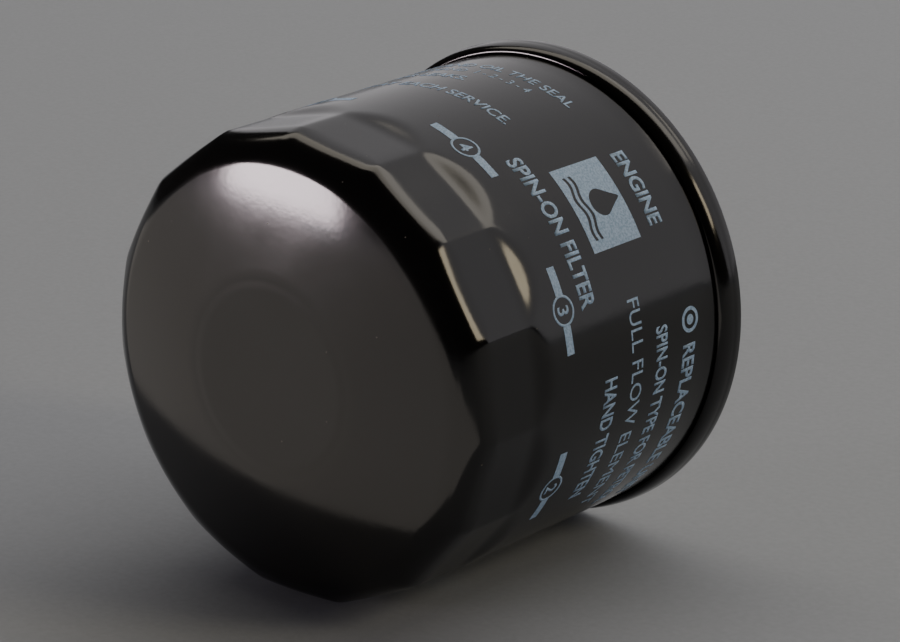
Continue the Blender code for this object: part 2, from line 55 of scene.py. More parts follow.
# the filter's axis and its two ends, as the frame has them
lidLow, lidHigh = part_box("seaming_lid")
axisHeight = (lidLow[2] + lidHigh[2]) / 2
openFace = lidHigh[1]
rimRadius = (lidHigh[0] - lidLow[0]) / 2 / mm
canDepth = (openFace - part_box("can")[0][1]) / mm
toFrame = Matrix.Translation((0, openFace, axisHeight)) @ Matrix.Rotation(-math.pi / 2, 4, "X")


def linearColour(code):
    channels = [int(code[i:i + 2], 16) / 255 for i in (1, 3, 5)]
    return (*[c / 12.92 if c <= 0.04045 else ((c + 0.055) / 1.055) ** 2.4 for c in channels], 1)


def plug(node, links):
    # sets a node's inputs, by name or in order, from values or from other nodes
    if not isinstance(links, (dict, tuple)):
        links = (links,)
    for key, value in links.items() if isinstance(links, dict) else enumerate(links):
        if isinstance(value, bpy.types.Node):
            value = value.outputs[0]
        if isinstance(value, bpy.types.NodeSocket):
            node.id_data.links.new(value, node.inputs[key])
        else:
            node.inputs[key].default_value = value


def addNode(tree, kind, links=(), **settings):
    # a kind is a node's type without its family, or a maths node's operation in capitals
    if kind.isupper():
        kind, settings = "Math", {"operation": kind}
    families = ("ShaderNode", "GeometryNode", "FunctionNode", "")
    family = next(family for family in families if hasattr(bpy.types, family + kind))
    node = tree.nodes.new(family + kind)
    for name, value in settings.items():
        setattr(node, name, value)
    plug(node, links)
    return node


def depthOf(y):
    # depth in mm from the seam's open face, for a place along the frame's Y
    return (openFace - y) / mm


def nodeSpan(node):
    # outer radius, shallow end and deep end of a round node, in mm
    low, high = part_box(node)
    return (high[0] - low[0]) / 2 / mm, depthOf(high[1]), depthOf(low[1])


def linked(name, data):
    # puts an object in the scene, and makes a bmesh a mesh first
    if isinstance(data, bmesh.types.BMesh):
        bm, data = data, bpy.data.meshes.new(name)
        bm.to_mesh(data)
        bm.free()
    obj = bpy.data.objects.new(name, data)
    bpy.context.scene.collection.objects.link(obj)
    return obj


def plain(obj):
    # keeps what the modifiers make as a plain mesh
    depsgraph = bpy.context.evaluated_depsgraph_get()
    depsgraph.update()
    mesh = bpy.data.meshes.new_from_object(obj.evaluated_get(depsgraph))
    mesh.name = obj.name
    if obj.type != "MESH":
        name = obj.name
        bpy.data.objects.remove(obj, do_unlink=True)
        return linked(name, mesh)
    obj.modifiers.clear()
    obj.data = mesh
    return obj


def smooth(obj, angle=32):
    obj.data.shade_smooth()
    obj.data.set_sharp_from_angle(angle=math.radians(angle))
    return obj


def reworked(obj, change):
    # opens the mesh for a change and closes it again
    bm = bmesh.new()
    bm.from_mesh(obj.data)
    change(bm)
    bm.to_mesh(obj.data)
    bm.free()
    return obj


def faceOut(obj, mergeBelow=0.000001):
    def change(bm):
        bmesh.ops.remove_doubles(bm, verts=bm.verts, dist=mergeBelow)
        bmesh.ops.recalc_face_normals(bm, faces=bm.faces)
    return reworked(obj, change)


def arc(centreRadius, centreDepth, radius, start, end, count):
    # 0 degrees points away from the axis and 90 towards the dome
    angles = [math.radians(start + (end - start) * i / count) for i in range(count + 1)]
    return [(centreRadius + radius * math.cos(a), centreDepth + radius * math.sin(a)) for a in angles]


def turned(name, profile, steps, closed=True, startAngle=0.0):
    # turns (radius, depth) points in mm round the filter's axis
    turn = Matrix.Rotation(math.radians(startAngle), 4, "Z")
    points = [turn @ Vector((radius * mm, 0, -depth * mm)) for radius, depth in profile]
    points = [point for i, point in enumerate(points) if i == 0 or (point - points[i - 1]).length > 0.000001]
    edges = [(i, i + 1) for i in range(len(points) - 1)]
    if closed and profile[0][0] > 0:
        edges.append((len(points) - 1, 0))
    mesh = bpy.data.meshes.new(name)
    mesh.from_pydata(points, edges, [])
    obj = linked(name, mesh)
    screw = obj.modifiers.new("Turn", "SCREW")
    screw.steps = steps
    screw.render_steps = steps
    screw.use_merge_vertices = True
    screw.merge_threshold = 0.000002
    obj = plain(obj)
    obj.data.transform(toFrame)
    if closed:
        faceOut(obj)
    return smooth(obj)


def withoutSlivers(obj):
    def change(bm):
        bmesh.ops.dissolve_degenerate(bm, dist=0.000001, edges=bm.edges)
    return reworked(obj, change)


def thickened(obj, thickness, offset=-1):
    # gives a sheet its thickness in mm, inwards unless the offset says otherwise
    wall = obj.modifiers.new("Wall", "SOLIDIFY")
    wall.thickness = thickness * mm
    wall.offset = offset
    return plain(obj)


def deburred(obj, width):
    # rounds the edges that a punch has cut, and keeps the flats flat
    bevel = obj.modifiers.new("Punched edges", "BEVEL")
    bevel.width = width * mm
    bevel.segments = 2
    bevel.limit_method = "ANGLE"
    bevel.angle_limit = math.radians(60)
    return evenly(smooth(withoutSlivers(plain(obj))))


def evenly(obj):
    # flat faces keep their own normal up to a rounded edge
    even = obj.modifiers.new("Even", "WEIGHTED_NORMAL")
    even.keep_sharp = True
    even.weight = 100
    return plain(obj)


def finished(obj, material, body, slot, *nodes):
    obj.data.materials.clear()
    obj.data.materials.append(material)
    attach(obj, body)
    if nodes:
        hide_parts(*nodes)
    return obj


def grown(name, build, material, sizes, obj=None):
    # makes a geometry tree with these sizes as its named inputs, runs it and keeps the result
    tree = bpy.data.node_groups.new(name, "GeometryNodeTree")
    tree.interface.new_socket("Geometry", in_out="INPUT", socket_type="NodeSocketGeometry")
    for label, value in sizes.items():
        kind = "NodeSocketInt" if isinstance(value, int) else "NodeSocketFloat"
        tree.interface.new_socket(label, in_out="INPUT", socket_type=kind).default_value = value
    tree.interface.new_socket("Geometry", in_out="OUTPUT", socket_type="NodeSocketGeometry")
    add = partial(addNode, tree)
    shape = build(add, add("NodeGroupInput").outputs)
    real = add("RealizeInstances", {"Geometry": shape})
    painted = add("SetMaterial", {"Geometry": real, "Material": material})
    add("NodeGroupOutput", {"Geometry": painted})
    obj = obj or linked(name, bpy.data.meshes.new(name))
    modifier = obj.modifiers.new("Nodes", "NODES")
    modifier.node_group = tree
    for socket in tree.interface.items_tree:
        if socket.in_out == "INPUT" and socket.name in sizes:
            modifier[socket.identifier] = sizes[socket.name]
    return plain(obj)


def onAxis(add, sizes, shape):
    # lays what stands round Z along the filter's axis
    spot = add("CombineXYZ", {1: sizes["Along"], 2: sizes["Axis Height"]})
    return add("Transform", {"Geometry": shape, "Translation": spot, "Rotation": (-math.pi / 2, 0, 0)})


def swung(add, angle, reach):
    # the two coordinates of a point at this angle and reach
    return [add("MULTIPLY", (reach, add(part, angle))) for part in ("COSINE", "SINE")]


def newMaterial(name, colour, roughness, metallic=0.0, **inputs):
    # gives the material, what adds a node to it, and the piece's own coordinates
    material = bpy.data.materials.new(name)
    material.use_nodes = True
    tree = material.node_tree
    plug(tree.nodes["Principled BSDF"], {"Base Color": linearColour(colour), "Roughness": roughness,
        "Metallic": metallic, **inputs})
    add = partial(addNode, tree)
    return material, add, add("TexCoord").outputs["Object"]


def dressed(material, share, tones, **inputs):
    # the colour runs from one tone to the other by this share; the inputs are the shader's
    tree = material.node_tree
    colour = addNode(tree, "Mix", {"Factor": share, 6: linearColour(tones[0]), 7: linearColour(tones[1])},
        data_type="RGBA")
    plug(tree.nodes["Principled BSDF"], {"Base Color": colour.outputs[2], **inputs})
    return material


def blackStovingEnamel():
    # Sprayed and stoved epoxy enamel: near-black, wet gloss, a faint orange peel and a few dust nibs
    peelWidth, nibCell, hazeWidth = 1.1, 3.2, 14.0  # mm
    material, add, spot = newMaterial("blackStovingEnamel", "#0b0a0a", 0.13, IOR=1.52)
    haze = add("TexNoise", {"Vector": spot, "Scale": 1 / (hazeWidth * mm), "Detail": 3.0})
    peel = add("TexNoise", {"Vector": spot, "Scale": 1 / (peelWidth * mm), "Detail": 2.0})
    nib = add("TexVoronoi", {"Vector": spot, "Scale": 1 / (nibCell * mm)})
    near = add("MapRange", {"Value": nib.outputs["Distance"], "From Min": 0.045, "From Max": 0.02})
    chance = add("SeparateColor", nib.outputs["Color"])
    dust = add("MULTIPLY", (near, add("GREATER_THAN", (chance, 0.72))))
    gloss = add("MapRange", {"Value": haze, "From Min": 0.3, "From Max": 0.7, "To Min": 0.11, "To Max": 0.17})
    bump = add("Bump", {"Height": peel, "Distance": 0.000011, "Strength": 0.6})
    return dressed(material, dust, ("#0b0a0a", "#6f6b62"), Roughness=add("ADD", (gloss, dust)), Normal=bump)


def screenPrintInk():
    # Pale blue-grey screen ink on gloss paint: matt, with the screen's fine grain in it
    grain = 0.35  # mm
    material, add, spot = newMaterial("screenPrintInk", "#a3bfdc", 0.5)
    speckle = add("TexNoise", {"Vector": spot, "Scale": 1 / (grain * mm), "Detail": 2.0})
    share = add("MapRange", {"Value": speckle, "From Min": 0.38, "From Max": 0.62})
    return dressed(material, share, ("#8cabcd", "#b4cdea"))


def steel(name, colour, roughness, scratchWidth, grainAlong, tarnish):
    # one family of bare and plated steels: rolled or turned lines, with faint cloudy tarnish
    cloudWidth = 9.0  # mm
    material, add, spot = newMaterial(name, colour, roughness, 1.0)
    stretch = add("Mapping", {"Vector": spot, "Scale": grainAlong})
    lines = add("TexNoise", {"Vector": stretch, "Scale": 1 / (scratchWidth * mm), "Detail": 4.0})
    cloud = add("TexNoise", {"Vector": spot, "Scale": 1 / (cloudWidth * mm), "Detail": 4.0})
    share = add("MapRange", {"Value": cloud, "From Min": 0.35, "From Max": 0.7})
    rough = add("MapRange", {"Value": lines, "From Min": 0.3, "From Max": 0.7, "To Min": roughness * 0.75,
        "To Max": roughness * 1.3})
    bump = add("Bump", {"Height": lines, "Distance": 0.00001, "Strength": 0.35})
    return dressed(material, share, (colour, tarnish), Roughness=rough, Normal=bump)


def rubber(name, colour, bloom, roughness):
    # moulded rubber: soft sheen, fine spark-eroded grain and a little pale bloom
    grainWidth, patchWidth = 0.4, 6.0  # mm
    material, add, spot = newMaterial(name, colour, roughness, IOR=1.5)
    grain = add("TexNoise", {"Vector": spot, "Scale": 1 / (grainWidth * mm), "Detail": 3.0})
    patch = add("TexNoise", {"Vector": spot, "Scale": 1 / (patchWidth * mm), "Detail": 4.0})
    share = add("MapRange", {"Value": patch, "From Min": 0.5, "From Max": 0.75, "To Max": 0.6})
    rough = add("MapRange", {"Value": patch, "To Min": roughness * 0.8, "To Max": roughness * 1.25})
    bump = add("Bump", {"Height": grain, "Distance": 0.00002, "Strength": 0.4})
    return dressed(material, share, (colour, bloom), Roughness=rough, Normal=bump)


def resinFilterPaper():
    # Phenolic-resin cellulose paper: tan, matt, cloudy fibres, with the embossing rolls' fine ribs
    fibreWidth, cloudWidth, ribPitch = 0.6, 5.0, 2.4  # mm
    material, add, spot = newMaterial("resinFilterPaper", "#c98d4e", 0.9)
    fibre = add("TexNoise", {"Vector": spot, "Scale": 1 / (fibreWidth * mm), "Detail": 6.0})
    cloud = add("TexNoise", {"Vector": spot, "Scale": 1 / (cloudWidth * mm), "Detail": 3.0})
    ribs = add("TexWave", {"Vector": spot, "Scale": 1 / (ribPitch * mm)}, bands_direction="Y")
    height = add("ADD", (fibre, ribs.outputs["Fac"]))
    bump = add("Bump", {"Height": height, "Distance": 0.00006, "Strength": 0.6})
    return dressed(material, cloud, ("#b97a3c", "#dba568"), Normal=bump)


def curedPlastisol(name, colour, dark):
    # poured and cured compound: satin, slightly lumpy, darker where it pooled
    poolWidth = 4.0  # mm
    material, add, spot = newMaterial(name, colour, 0.45)
    pooled = add("TexNoise", {"Vector": spot, "Scale": 1 / (poolWidth * mm), "Detail": 4.0})
    bump = add("Bump", {"Height": pooled, "Distance": 0.0002, "Strength": 0.3})
    return dressed(material, pooled, (dark, colour), Normal=bump)


def seamlessPaper():
    # matt studio paper: pale cool grey with a barely visible tooth
    toothWidth = 1.2  # mm
    material, add, spot = newMaterial("seamlessPaper", "#a4a9b1", 0.95)
    tooth = add("TexNoise", {"Vector": spot, "Scale": 1 / (toothWidth * mm), "Detail": 3.0})
    return dressed(material, tooth, ("#9da2aa", "#abb0b8"))


enamel = blackStovingEnamel()
ink = screenPrintInk()
gasketRubber = rubber("mouldedNitrileRubber", "#141414", "#2b2a29", 0.42)
valveRubber = rubber("mouldedSiliconeRubber", "#a8491f", "#b8673f", 0.5)
sealRubber = rubber("punchedRubberSheet", "#1d1d1d", "#343332", 0.6)
zincSteel = steel("zincPlatedSteel", "#a9a597", 0.34, 0.5, (1, 1, 1), "#8d8a74")
tinSteel = steel("tinnedSheetSteel", "#bdbab2", 0.3, 0.3, (1, 6, 1), "#9f9b90")
valveSteel = steel("stampedSpringSteel", "#a7a7a3", 0.28, 0.3, (4, 1, 1), "#8b8a84")
wireSteel = steel("oilTemperedWire", "#6d6c6a", 0.3, 0.25, (1, 4, 1), "#4c4843")
paper = resinFilterPaper()
potting = curedPlastisol("curedPlastisol", "#8a6238", "#5d3d20")
compound = curedPlastisol("seamLiningCompound", "#4d5c47", "#333f30")
print("materials:", len(bpy.data.materials))


can = {"radius": 40.0, "sheet": 0.6, "hookRadius": 40.3, "hookEnd": 4.3, "foldDepth": 2.2, "coneRound": 3.0,
    "coneAngle": 15.0, "coneLength": 4.0, "shoulderRadius": 5.83, "crownSlope": 11.5, "discRadius": 15.8,
    "discStep": 0.03, "discEdge": 2.4, "flats": 15, "flatPhase": 18.5, "flatsLength": 7.7,
    "runoutLength": 3.2, "scoop": 0.006, "ridgeRound": 0.22, "runoutRound": 0.68, "rampStart": 0.65,
    "carried": 0.8, "carriedEnd": 36.6, "carriedRound": 0.45, "stepsPerFlat": 22, "rowPitch": 0.24,
    "rowsBefore": 2.2, "rowsAfter": 2.4, "leftRound": 1.7}


def canPlaces():
    slope, cone = math.radians(can["crownSlope"]), math.radians(can["coneAngle"])
    crownRadius = can["radius"] - can["coneRound"] * (1 - math.cos(cone)) - can["coneLength"] * math.sin(cone)
    crownRadius -= can["shoulderRadius"] * (math.cos(cone) - math.sin(slope))
    span = crownRadius**2 - can["discRadius"]**2
    rise = math.tan(slope) / (2 * crownRadius) * span
    crownDepth = canDepth - can["discStep"] - rise
    shoulderStart = crownDepth - can["coneRound"] * math.sin(cone) - can["coneLength"] * math.cos(cone)
    shoulderStart -= can["shoulderRadius"] * (math.cos(slope) - math.sin(cone))
    return crownRadius, span, rise, crownDepth, shoulderStart


def canProfile():
    crownRadius, span, rise, crownDepth, shoulderStart = canPlaces()
    radius = can["radius"]
    flatStart = shoulderStart - can["flatsLength"]
    runoutStart = flatStart - can["runoutLength"]
    fold = (can["hookRadius"] - radius) / 2
    profile = [(can["hookRadius"], can["hookEnd"])]
    profile += arc(radius + fold, can["foldDepth"] + fold, fold, 0, -180, 6)
    profile += [(radius, depth) for depth in (10.0, 20.0, 30.0, 40.0, 46.0)]
    # the rows stand close where the run-out curves
    firstRow, lastRow = runoutStart - can["rowsBefore"], flatStart + can["rowsAfter"]
    rows = int((lastRow - firstRow) / can["rowPitch"]) + 1
    profile += [(radius, firstRow + can["rowPitch"] * i) for i in range(rows)]
    profile += [(radius, lastRow + (shoulderStart - lastRow) * i / 6) for i in range(1, 6)]
    # past the flats the wall leans in on a short cone before it turns over into the crown
    profile += arc(radius - can["coneRound"], shoulderStart, can["coneRound"], 0, can["coneAngle"], 4)
    cone = math.radians(can["coneAngle"])
    startRadius, startDepth = profile[-1]
    for i in range(1, 15):
        along = can["coneLength"] * i / 14
        profile.append((startRadius - along * math.sin(cone), startDepth + along * math.cos(cone)))
    endRadius, endDepth = profile.pop()
    turnRadius = can["shoulderRadius"]
    profile += arc(endRadius - turnRadius * math.cos(cone), endDepth - turnRadius * math.sin(cone),
        turnRadius, can["coneAngle"], 90 - can["crownSlope"], 28)
    count = 12
    for i in range(1, count + 1):
        r = crownRadius + (can["discRadius"] + can["discEdge"] / 2 - crownRadius) * i / count
        profile.append((r, crownDepth + rise * (crownRadius**2 - r**2) / span))
    # the disc's edge is a soft step
    edge = can["discRadius"] + can["discEdge"] / 2
    start = profile[-1][1]
    for i in range(1, 9):
        eased = (i / 8) ** 2 * (3 - 2 * i / 8)
        profile.append((edge - can["discEdge"] * i / 8, start + (canDepth - start) * eased))
    profile += [(r, canDepth) for r in (12.0, 8.0, 4.0, 0.0)]
    return profile


def pressFlats(add, sizes):
    where = add("InputPosition")
    split = add("SeparateXYZ", where)
    up = add("SUBTRACT", (split.outputs[2], sizes["Axis Height"]))
    flatVector = add("CombineXYZ", {0: split.outputs[0], 2: up})
    radius = add("VectorMath", flatVector, operation="LENGTH").outputs["Value"]
    angle = add("ARCTAN2", (up, split.outputs[0]))
    pitch = add("DIVIDE", (math.tau, sizes["Flats"]))
    half = add("MULTIPLY", (pitch, 0.5))
    # more of the points go to the ridges
    turn = add("SUBTRACT", (angle, sizes["Phase"]))
    sine = add("SINE", add("MULTIPLY", (turn, sizes["Flats"])))
    shift = add("MULTIPLY", (sine, add("DIVIDE", (sizes["Crowding"], sizes["Flats"]))))
    newAngle = add("SUBTRACT", (angle, shift))
    newTurn = add("SUBTRACT", (turn, shift))
    across = add("WRAP", (add("SUBTRACT", (newTurn, half)), half, add("MULTIPLY", (half, -1.0))))
    # the flat's plane lies at its apothem, and rises to the wall along the run-out
    apothem = add("MULTIPLY", (sizes["Radius"], add("COSINE", half)))
    drop = add("SUBTRACT", (sizes["Radius"], apothem))
    past = add("SUBTRACT", (split.outputs[1], sizes["Flat Start"]))
    # the punch has a rounded end, so the ramp starts sooner at the flat's two sides
    aside = add("MULTIPLY", (across, sizes["Radius"]))
    scooped = add("MULTIPLY_ADD", (add("MULTIPLY", (aside, aside)), sizes["Scoop"], past))
    share = add("DIVIDE", (scooped, sizes["Runout"]))
    climb = add("MULTIPLY", (add("SMOOTH_MAX", (share, 0.0, sizes["Ramp Start"])), drop))
    plane = add("ADD", (apothem, climb))
    cosAcross = add("COSINE", across)
    thisFlat = add("DIVIDE", (plane, cosAcross))
    cosOther = add("COSINE", add("SUBTRACT", (pitch, add("ABSOLUTE", across))))
    limit = add("SMOOTH_MIN", (thisFlat, add("DIVIDE", (plane, cosOther)), sizes["Ridge Round"]))
    # the ridges are carried on over the cone and die out at the crown's edge
    fading = add("MapRange", {"Value": radius, "From Min": sizes["Carried End"], "From Max": apothem,
        "To Max": sizes["Carried"]}, interpolation_type="SMOOTHSTEP")
    faces = []
    for cosine in (cosAcross, cosOther):
        stretch = add("DIVIDE", (radius, cosine))
        faces.append(add("Mix", {"Factor": fading, 2: radius, 3: stretch}, data_type="FLOAT"))
    cornered = add("SMOOTH_MIN", (faces[0], faces[1], sizes["Carried Round"]))
    within = add("MINIMUM", (cornered, sizes["Radius"]))
    pressed = add("SMOOTH_MIN", (within, limit, sizes["Runout Round"]))
    # the seam's end is left round
    free = add("GREATER_THAN", (share, can["leftRound"]))
    newRadius = add("Mix", {"Factor": free, 2: pressed, 3: radius}, data_type="FLOAT")
    newX, rise = swung(add, newAngle, newRadius)
    place = add("CombineXYZ", (newX, split.outputs[1], add("ADD", (rise, sizes["Axis Height"]))))
    return add("SetPosition", {"Geometry": sizes["Geometry"], "Position": place})


def makeCan():
    shoulderStart = canPlaces()[4]
    steps = can["flats"] * can["stepsPerFlat"]
    obj = turned("pressedCan", canProfile(), steps, closed=False, startAngle=-can["flatPhase"])
    obj = grown("pressedCan", pressFlats, enamel, {"Flats": float(can["flats"]),
        "Phase": math.radians(can["flatPhase"]), "Radius": can["radius"] * mm,
        "Flat Start": openFace - (shoulderStart - can["flatsLength"]) * mm,
        "Runout": can["runoutLength"] * mm, "Ridge Round": can["ridgeRound"] * mm,
        "Runout Round": can["runoutRound"] * mm, "Ramp Start": can["rampStart"], "Scoop": can["scoop"] / mm,
        "Axis Height": axisHeight, "Carried End": can["carriedEnd"] * mm, "Carried": can["carried"],
        "Carried Round": can["carriedRound"] * mm, "Crowding": 0.45}, obj)
    smooth(thickened(obj, can["sheet"]), 60)
    return finished(obj, enamel, "shell", "black_enamel", "can")


makeCan()
print("can pressed")


lid = {"sheet": 0.6, "seamHeight": 5.4, "topRound": 1.0, "footHeight": 2.9, "footDepth": 1.35, "bulge": 0.06,
    "steps": 288, "chuckRadius": 38.5, "landDepth": 1.5, "grooveOuter": 35.8, "grooveInner": 30.2,
    "grooveDepth": 3.6, "beadRadius": 27.0, "beadDepth": 1.8, "flangeRadius": 24.5, "flangeDepth": 4.2,
    "bend": 0.6, "welds": 8, "weldRadius": 25.75, "weldSize": 0.75, "weldRim": 0.22}


def roundCorners(points, radius, count=5):
    # rounds the inner corners of an open profile
    result = [points[0]]
    for before, corner, after in zip(points, points[1:], points[2:]):
        p, q, r = Vector(before), Vector(corner), Vector(after)
        a, b = p - q, r - q
        reach = min(radius, a.length * 0.49, b.length * 0.49)
        start, end = q + a.normalized() * reach, q + b.normalized() * reach
        for i in range(count + 1):
            t = i / count
            result.append(tuple(start.lerp(q, t).lerp(q.lerp(end, t), t)))
    result.append(points[-1])
    return result


def makeLid():
    rim = rimRadius - lid["bulge"]
    points = [(lid["flangeRadius"], lid["flangeDepth"]), (lid["beadRadius"], lid["flangeDepth"]),
        (lid["beadRadius"] + 0.9, lid["beadDepth"]), (lid["grooveInner"], lid["beadDepth"]),
        (lid["grooveInner"], lid["grooveDepth"]), (lid["grooveOuter"], lid["grooveDepth"]),
        (lid["grooveOuter"], lid["landDepth"]), (lid["chuckRadius"], lid["landDepth"]),
        (lid["chuckRadius"], 0.8)]
    profile = roundCorners(points, lid["bend"])
    profile += arc(lid["chuckRadius"] + 0.8, 0.8, 0.8, 180, 270, 8)
    profile += arc(rim - lid["topRound"], lid["topRound"], lid["topRound"], -90, 0, 10)
    foot = lid["seamHeight"] - lid["footHeight"]
    for i in range(1, 8):
        share = i / 8
        depth = lid["topRound"] + (foot - lid["topRound"]) * share
        profile.append((rim + lid["bulge"] * math.sin(math.pi * share), depth))
    # the seaming roll draws the foot in on a long round
    for i in range(17):
        a = math.radians(90 * i / 16)
        profile.append((rim - lid["footDepth"] * (1 - math.cos(a)), foot + lid["footHeight"] * math.sin(a)))
    obj = turned("rolledLid", profile, lid["steps"], closed=False)
    smooth(thickened(obj, lid["sheet"]))
    return finished(obj, enamel, "shell", "lid_enamel", "seaming_lid")


def spreadWelds(add, sizes):
    # a ring of spot welds, each a shallow rimmed crater
    ring = add("MeshCircle", {"Vertices": sizes["Count"], "Radius": sizes["Circle"]})
    rimCurve = add("CurvePrimitiveCircle", {"Resolution": 20, "Radius": sizes["Size"]})
    thick = add("MULTIPLY", (sizes["Size"], lid["weldRim"]))
    wire = add("CurvePrimitiveCircle", {"Resolution": 8, "Radius": thick})
    rim = add("CurveToMesh", {"Curve": rimCurve, "Profile Curve": wire})
    many = add("InstanceOnPoints", {"Points": ring, "Instance": rim})
    return onAxis(add, sizes, many)


def makeWelds():
    along = openFace - lid["flangeDepth"] * mm
    obj = grown("spotWelds", spreadWelds, enamel, {"Count": lid["welds"], "Circle": lid["weldRadius"] * mm,
        "Size": lid["weldSize"] * mm, "Along": along, "Axis Height": axisHeight})
    smooth(faceOut(obj), 80)
    return finished(obj, enamel, "shell", "lid_enamel")


makeLid()
makeWelds()
print("lid rolled")


gasket = {"width": 5.0, "corner": 0.55, "ribDepth": 0.18, "ribs": 2, "steps": 224}


def makeGasket():
    outer, top, base = nodeSpan("sealing_gasket")
    inner = outer - gasket["width"]
    corner = gasket["corner"]
    profile = arc(outer - corner, base - corner, corner, 0, 90, 6)
    profile += arc(inner + corner, base - corner, corner, 90, 180, 6)
    profile += arc(inner + corner, top + corner, corner, 180, 270, 6)
    # shallow sealing ribs on the face
    start, end = inner + corner, outer - corner
    count = 28
    for i in range(1, count):
        share = i / count
        wave = 0.5 - 0.5 * math.cos(math.tau * (gasket["ribs"] + 1) * share)
        profile.append((start + (end - start) * share, top + gasket["ribDepth"] * wave))
    profile += arc(outer - corner, top + corner, corner, 270, 360, 6)
    obj = turned("gasketRing", profile, gasket["steps"])
    return finished(obj, gasketRubber, "shell", "gasket_rubber", "sealing_gasket")


makeGasket()
print("gasket moulded")


plate = {"thickness": 3.2, "neckRadius": 12.2, "neckFillet": 0.9, "minorRadius": 9.188, "majorRadius": 10.0,
    "threadPitch": 1.5, "chamfer": 1.2, "inlets": 8, "inletRadius": 2.8, "inletCircle": 18.35, "edge": 0.35,
    "burr": 0.2, "boreChamfer": 0.3, "threadFlank": 0.43, "threadStart": 0.9, "threadEnd": 0.75, "steps": 144}


def spreadPunches(add, sizes):
    # a ring of round punches along the filter's axis
    ring = add("MeshCircle", {"Vertices": sizes["Count"], "Radius": sizes["Circle"]})
    punch = add("MeshCylinder", {"Vertices": sizes["Sides"], "Radius": sizes["Radius"],
        "Depth": sizes["Length"]})
    many = add("InstanceOnPoints", {"Points": ring, "Instance": punch.outputs["Mesh"]})
    return onAxis(add, sizes, many)


def cutBy(obj, cutter):
    boolean = obj.modifiers.new("Cut", "BOOLEAN")
    boolean.operation = "DIFFERENCE"
    boolean.object = cutter
    plain(obj)
    bpy.data.objects.remove(cutter, do_unlink=True)
    return obj


def makePlate():
    outer, top, base = nodeSpan("tapping_plate")
    under = top + plate["thickness"]
    edge, neck, bore = plate["edge"], plate["neckRadius"], plate["majorRadius"]
    profile = arc(outer - edge, top + edge, edge, -90, 0, 4)
    profile += arc(outer - edge, under - edge, edge, 0, 90, 4)
    fillet = plate["neckFillet"]
    profile += arc(neck + fillet, under + fillet, fillet, 270, 180, 8)
    profile += arc(neck - edge, base - edge, edge, 0, 90, 4)
    profile += [(bore + plate["boreChamfer"], base), (bore, base - plate["boreChamfer"]),
        (bore, top + plate["chamfer"] * 0.4), (plate["minorRadius"] + plate["chamfer"], top)]
    obj = turned("threadedPlate", profile, plate["steps"])
    punches = grown("punches", spreadPunches, zincSteel, {"Count": plate["inlets"],
        "Circle": plate["inletCircle"] * mm, "Radius": plate["inletRadius"] * mm,
        "Length": 3 * plate["thickness"] * mm, "Along": openFace - (top + under) / 2 * mm,
        "Axis Height": axisHeight, "Sides": 32})
    cutBy(obj, punches)
    deburred(obj, plate["burr"])
    return finished(obj, zincSteel, "shell", "plate_steel", "tapping_plate")


def windThread(add, sizes):
    # one V ridge that winds along the bore
    length = add("MULTIPLY", (sizes["Turns"], sizes["Pitch"]))
    helix = add("CurveSpiral", {"Resolution": 72, "Rotations": sizes["Turns"], "Start Radius": sizes["Major"],
        "End Radius": sizes["Major"], "Height": length})
    upright = add("SetCurveNormal", {"Curve": helix}, mode="Z_UP")
    width = add("MULTIPLY", (sizes["Depth"], 2.0))
    height = add("MULTIPLY", (sizes["Pitch"], plate["threadFlank"]))
    vee = add("CurvePrimitiveQuadrilateral", {"Width": width, "Bottom Height": height, "Top Height": height},
        mode="KITE")
    ridge = add("CurveToMesh", {"Curve": upright, "Profile Curve": vee, "Fill Caps": True})
    return onAxis(add, sizes, ridge)


def makeThread():
    top, base = nodeSpan("tapping_plate")[1:]
    first, last = top + plate["threadStart"], base - plate["threadEnd"]
    turns = (last - first) / plate["threadPitch"]
    obj = grown("boreThread", windThread, zincSteel, {"Turns": turns, "Pitch": plate["threadPitch"] * mm,
        "Major": plate["majorRadius"] * mm, "Depth": (plate["majorRadius"] - plate["minorRadius"]) * mm,
        "Along": openFace - last * mm, "Axis Height": axisHeight})
    smooth(faceOut(obj))
    return finished(obj, zincSteel, "shell", "plate_steel")


makePlate()
makeThread()
print("plate tapped")


# one row for each line: words, capitals' height, depth of the baseline, angle, anchor, width share, weight
# depths and heights in mm; angles in degrees from +X towards +Z, and the lines read downwards
printing = {"lift": 0.035, "film": 0.03, "slice": 0.9, "lines": [
    ("SPIN-ON FILTER", 3.5, 39.6, 56.3, "LEFT", 0.8, 0.13),
    ("ENGINE", 3.3, 17.3, 49.2, "LEFT", 0.86, 0.13),
    ("FULL FLOW ELEMENT", 3.1, 28.5, 15.4, "LEFT", 1.0, 0.0),
    ("SPIN-ON TYPE FOR PETROL", 3.0, 21.9, 6.6, "LEFT", 0.74, 0.1),
    ("REPLACEABLE UNIT", 3.3, 14.6, -0.6, "LEFT", 0.86, 0.12),
    ("HAND TIGHTEN", 3.2, 35.5, -1.2, "LEFT", 0.74, 0.1),
    ("WIPE THE SEAT AND OIL THE SEAL", 2.3, 16.4, 65.0, "RIGHT", 1.06, 0.03),
    ("TURN BY HAND  1 - 2 - 3 - 4", 1.9, 19.9, 74.5, "RIGHT", 1.0, 0.0),
    ("CHECK FOR LEAKS.", 2.3, 24.6, 88.5, "RIGHT", 1.06, 0.03),
    ("CHANGE AT EACH SERVICE.", 2.4, 32.1, 66.3, "RIGHT", 1.06, 0.05),
]}
marks = {"count": 8, "pitch": 45.0, "first": 108.6, "depth": 44.1, "circle": 2.35, "ring": 0.42,
    "barStart": 2.5, "barEnd": 7.2, "barWidth": 1.75, "digits": "14321432", "digitHeight": 2.7,
    "digitWeight": 0.06}
